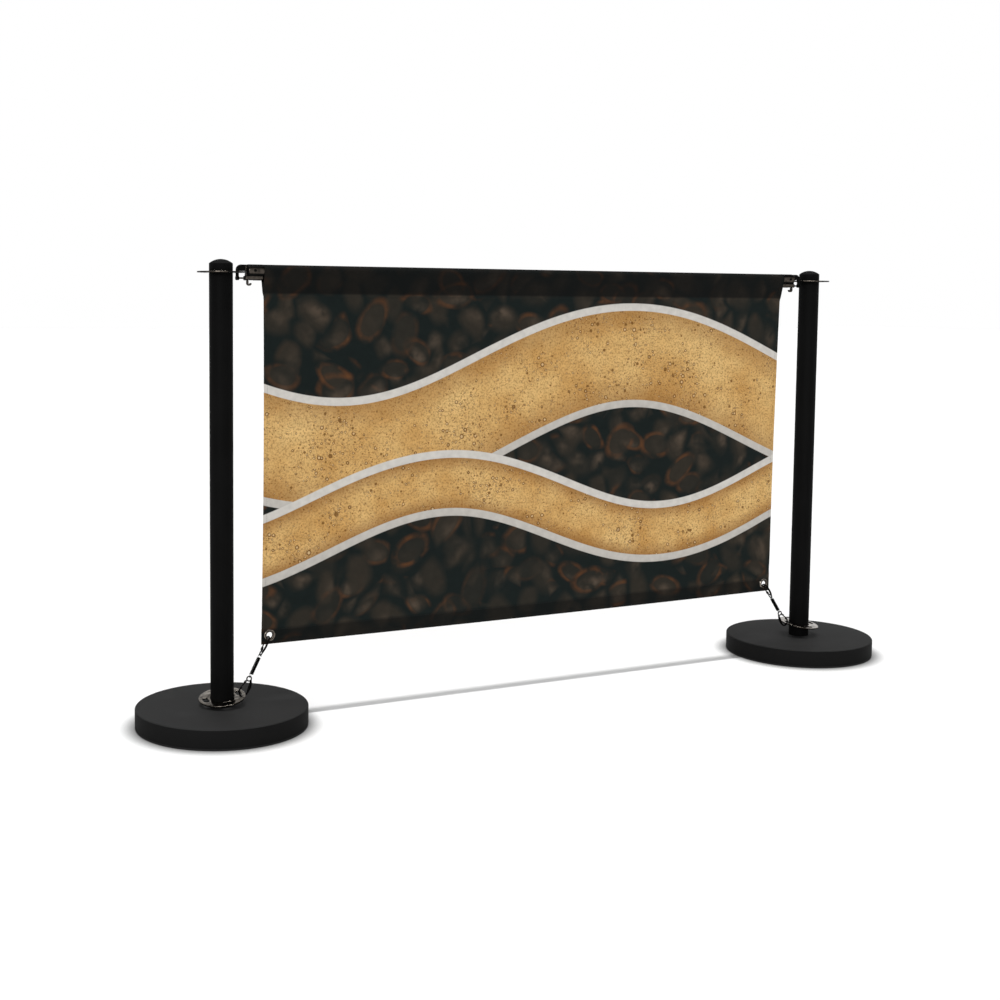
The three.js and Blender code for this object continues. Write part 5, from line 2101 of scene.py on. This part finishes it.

        # Painted shade: the funnel into the hole gets the darker gunmetal.
        self.finishes.darken(eyelet, self.finishes.made[Slot.GUNMETAL], funnel)
        bore = hole + wall + LAYOUT.gap
        ring = [(bore, face), (rim - 0.2, face), (rim, face + 0.2), (rim - 0.2, face + 0.5)]
        ring += [(rim - 2.2, face + 0.95), (bore + 0.4, face + 1.0), (bore, face + 0.8), (bore, face)]
        washer = make_object(f"{side.label}_eyelet_back_ring", turned(ring, 64), matrix)
        self.hand_over(washer, RAIL, Slot.CHROME, f"{side.label}_eyelet_washer")


@dataclass
class Rail(Part):
    """The rail: a round tube with filed ends in the banner's pocket."""

    wall: float = 1.5
    filed: float = 0.4

    def build(self) -> None:
        """Makes the tube with its two screw holes."""
        half = LAYOUT.post_spacing / 2 - LAYOUT.rail_end
        radius, file = LAYOUT.rail_radius, self.filed
        bore = radius - self.wall
        profile = [(bore, -half), (radius - file, -half), (radius, -half + file), (radius, half - file)]
        profile += [(radius - file, half), (bore, half), (bore, -half)]
        tube = make_object("rail_tube", levelled(turned(profile, 64), LAYOUT.rail_height), TO_METRES)
        holes = []
        for side in Side:
            x = side.value * (LAYOUT.screw_place - LAYOUT.post_spacing / 2)
            middle, face = at(x, LAYOUT.rail_height), at(x, LAYOUT.rail_height, -radius - 1)
            holes.append(rod(face, middle, LAYOUT.screw_radius + LAYOUT.gap, 24))
        carve(tube, holes, TO_METRES)
        self.hand_over(tube, RAIL, Slot.POWDER_COAT, "rail")


@dataclass
class Hidden(Part):
    """CAD nodes that keep their own shape and get a finish."""

    concrete: Sequence[str] = ("base_weight",)
    zinc: Sequence[str] = ("base_washer", "base_bolt", "foot_insert", "top_insert", "cap_stud", "spring_plug")

    def dress(self, nodes: dict[str, Object]) -> None:
        """Gives each kept node its material.

        Args:
            nodes: All CAD nodes by name.
        """
        made = self.finishes.made
        for side in Side:
            for names, slot in ((self.concrete, Slot.CONCRETE), (self.zinc, Slot.ZINC)):
                for name in names:
                    self.finishes.dress(nodes[f"{side.label}_{name}"], made[slot])
        for name, node in nodes.items():
            if not node.hide_render:
                LOG.info("%s keeps its shape", name)


# Studio


@dataclass(frozen=True)
class Studio:
    """The camera at the photograph's angle, soft lamps, a pale floor and a white backdrop."""

    focal_pixels: float = 1440.328
    place: Sequence[float] = (-1.79152, -2.88725, 0.90998)
    yaw: float = -0.45585
    pitch: float = 0.08242
    roll: float = 0.00725
    centre_x: float = 400.0
    centre_y: float = 420.0
    frame: float = 1000.0
    sensor: float = 36.0
    world_light: float = 0.3
    ceiling: Sequence[float] = (0.3, 0.7, 1.0, 0.12)
    floor_size: float = 40.0
    floor_colour: float = 0.7
    floor_glow: float = 0.24
    contact: float = 0.036
    lamp_distance: float = 4.0

    def build(self) -> None:
        """Makes the whole studio."""
        self.set_camera()
        self.set_world()
        self.set_lamps(self.set_floor())
        bpy.context.scene.view_settings.view_transform = "Standard"

    def set_camera(self) -> None:
        """Places the camera."""
        level, drop = math.cos(self.pitch), -math.sin(self.pitch)
        ahead = Vector((-math.sin(self.yaw) * level, math.cos(self.yaw) * level, drop))
        right = Vector((math.cos(self.yaw), math.sin(self.yaw), 0))
        up = right.cross(ahead)
        turn = Quaternion(ahead, -self.roll)
        data = bpy.data.cameras.new("camera")
        data.sensor_width = self.sensor
        data.lens = self.focal_pixels / self.frame * self.sensor
        data.shift_x = (self.frame / 2 - self.centre_x) / self.frame
        data.shift_y = (self.centre_y - self.frame / 2) / self.frame
        data.clip_start, data.clip_end = 0.05, 100.0
        camera = linked("camera", data)
        axes = Matrix((turn @ right, turn @ up, -ahead)).transposed().to_4x4()
        camera.matrix_world = Matrix.Translation(self.place) @ axes
        bpy.context.scene.camera = camera

    def set_world(self) -> None:
        """White to the camera and in reflections, dim straight overhead, and soft light on the object."""
        world = bpy.data.worlds.new("studio")
        world.use_nodes = True
        bpy.context.scene.world = world
        tree = Tree(world.node_tree)
        path = tree.add("ShaderNodeLightPath").outputs
        heading = tree.add("ShaderNodeTexCoord").outputs["Generated"]
        height = tree.add("ShaderNodeSeparateXYZ", Vector=heading).outputs["Z"]
        shares = {"in_0": path["Is Glossy Ray"], "in_2": self.world_light}
        mirrored = tree.add("ShaderNodeMix", in_3=tree.spread(height, *self.ceiling), **shares).outputs[0]
        seen = tree.math("MAXIMUM", path["Is Camera Ray"], path["Is Transmission Ray"])
        strength = tree.add("ShaderNodeMix", in_0=seen, in_2=mirrored, in_3=1.0).outputs[0]
        back = world.node_tree.nodes["Background"]
        tree.put(strength, back.inputs["Strength"])
        tree.put(grey(1.0), back.inputs["Color"])

    def set_floor(self) -> Object:
        """A pale floor that reads white, keeps the object's shadow and has a painted contact shadow near the
        object.

        Returns:
            The floor.
        """
        size = self.floor_size
        corners = [(-size, -size, 0), (size, -size, 0), (size, size, 0), (-size, size, 0)]
        floor = mesh_object("studio_floor", corners, [(0, 1, 2, 3)])
        nodes = MaterialTree("pale floor")
        # Painted contact shadow: ambient occlusion darkens the floor's colour and its glow close to the
        # object.
        near = nodes.add("ShaderNodeAmbientOcclusion", {"samples": 8}, Distance=self.contact).outputs["AO"]
        near = nodes.math("POWER", near, 2.0)
        tone = nodes.mix(near, grey(0.0), grey(self.floor_colour))
        floor.data.materials.append(nodes.shaded(Base_Color=tone, Roughness=0.9, Specular_IOR_Level=0.1))
        path = nodes.add("ShaderNodeLightPath").outputs
        seen = nodes.math("MAXIMUM", path["Is Camera Ray"], path["Is Transmission Ray"])
        seen = nodes.math("MAXIMUM", seen, path["Is Glossy Ray"])
        strength = nodes.times(seen, near, self.floor_glow)
        glow = nodes.add("ShaderNodeEmission", Color=grey(1.0), Strength=strength).outputs[0]
        both = nodes.add("ShaderNodeAddShader", in_0=nodes.shader.outputs[0], in_1=glow)
        nodes.put(both.outputs[0], nodes.tree.nodes["Material Output"].inputs["Surface"])
        return floor

    def set_lamps(self, floor: Object) -> None:
        """Two lights from overhead, narrow for the floor and broad for the barrier, and one in front.

        The narrow one draws the banner's line of shadow on the floor.

        Args:
            floor: The floor.
        """
        lamps = (
            ("overhead narrow", (0.0, 0.026, -1.0), 1.8, 2.5, "INCLUDE"),
            ("overhead broad", (0.0, 0.026, -1.0), 40.0, 2.5, "EXCLUDE"),
            ("front left", (0.55, 0.80, -0.25), 20.0, 1.35, ""),
        )
        for name, heading, angle, strength, floor_state in lamps:
            data = bpy.data.lights.new(name, "SUN")
            data.angle = math.radians(angle)
            data.energy = strength
            lamp = linked(name, data)
            lamp.location = Vector(heading) * -self.lamp_distance
            lamp.rotation_mode = "QUATERNION"
            lamp.rotation_quaternion = Vector(heading).to_track_quat("-Z", "Y")
            if floor_state:
                lit = bpy.data.collections.new(name)
                lit.objects.link(floor)
                lit.collection_objects[0].light_linking.link_state = floor_state
                lamp.light_linking.receiver_collection = lit


def clear_scene() -> None:
    """Removes what a new file starts with."""
    for obj in list(bpy.data.objects):
        bpy.data.objects.remove(obj)


def main() -> None:
    """Builds the barrier's looks and its studio."""
    logging.basicConfig(level=logging.INFO, format="%(name)s: %(message)s")
    clear_scene()
    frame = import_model()
    Studio().build()
    finishes = Finishes()
    banner = Banner(finishes)
    for side in Side:
        for kind in (Base, Post, RingPlate, EndHook):
            kind(finishes, side).build()
        Strap(finishes, side, banner).build()
    Rail(finishes).build()
    banner.build()
    Hidden(finishes).dress(frame["nodes"])


if __name__ == "__main__":
    main()
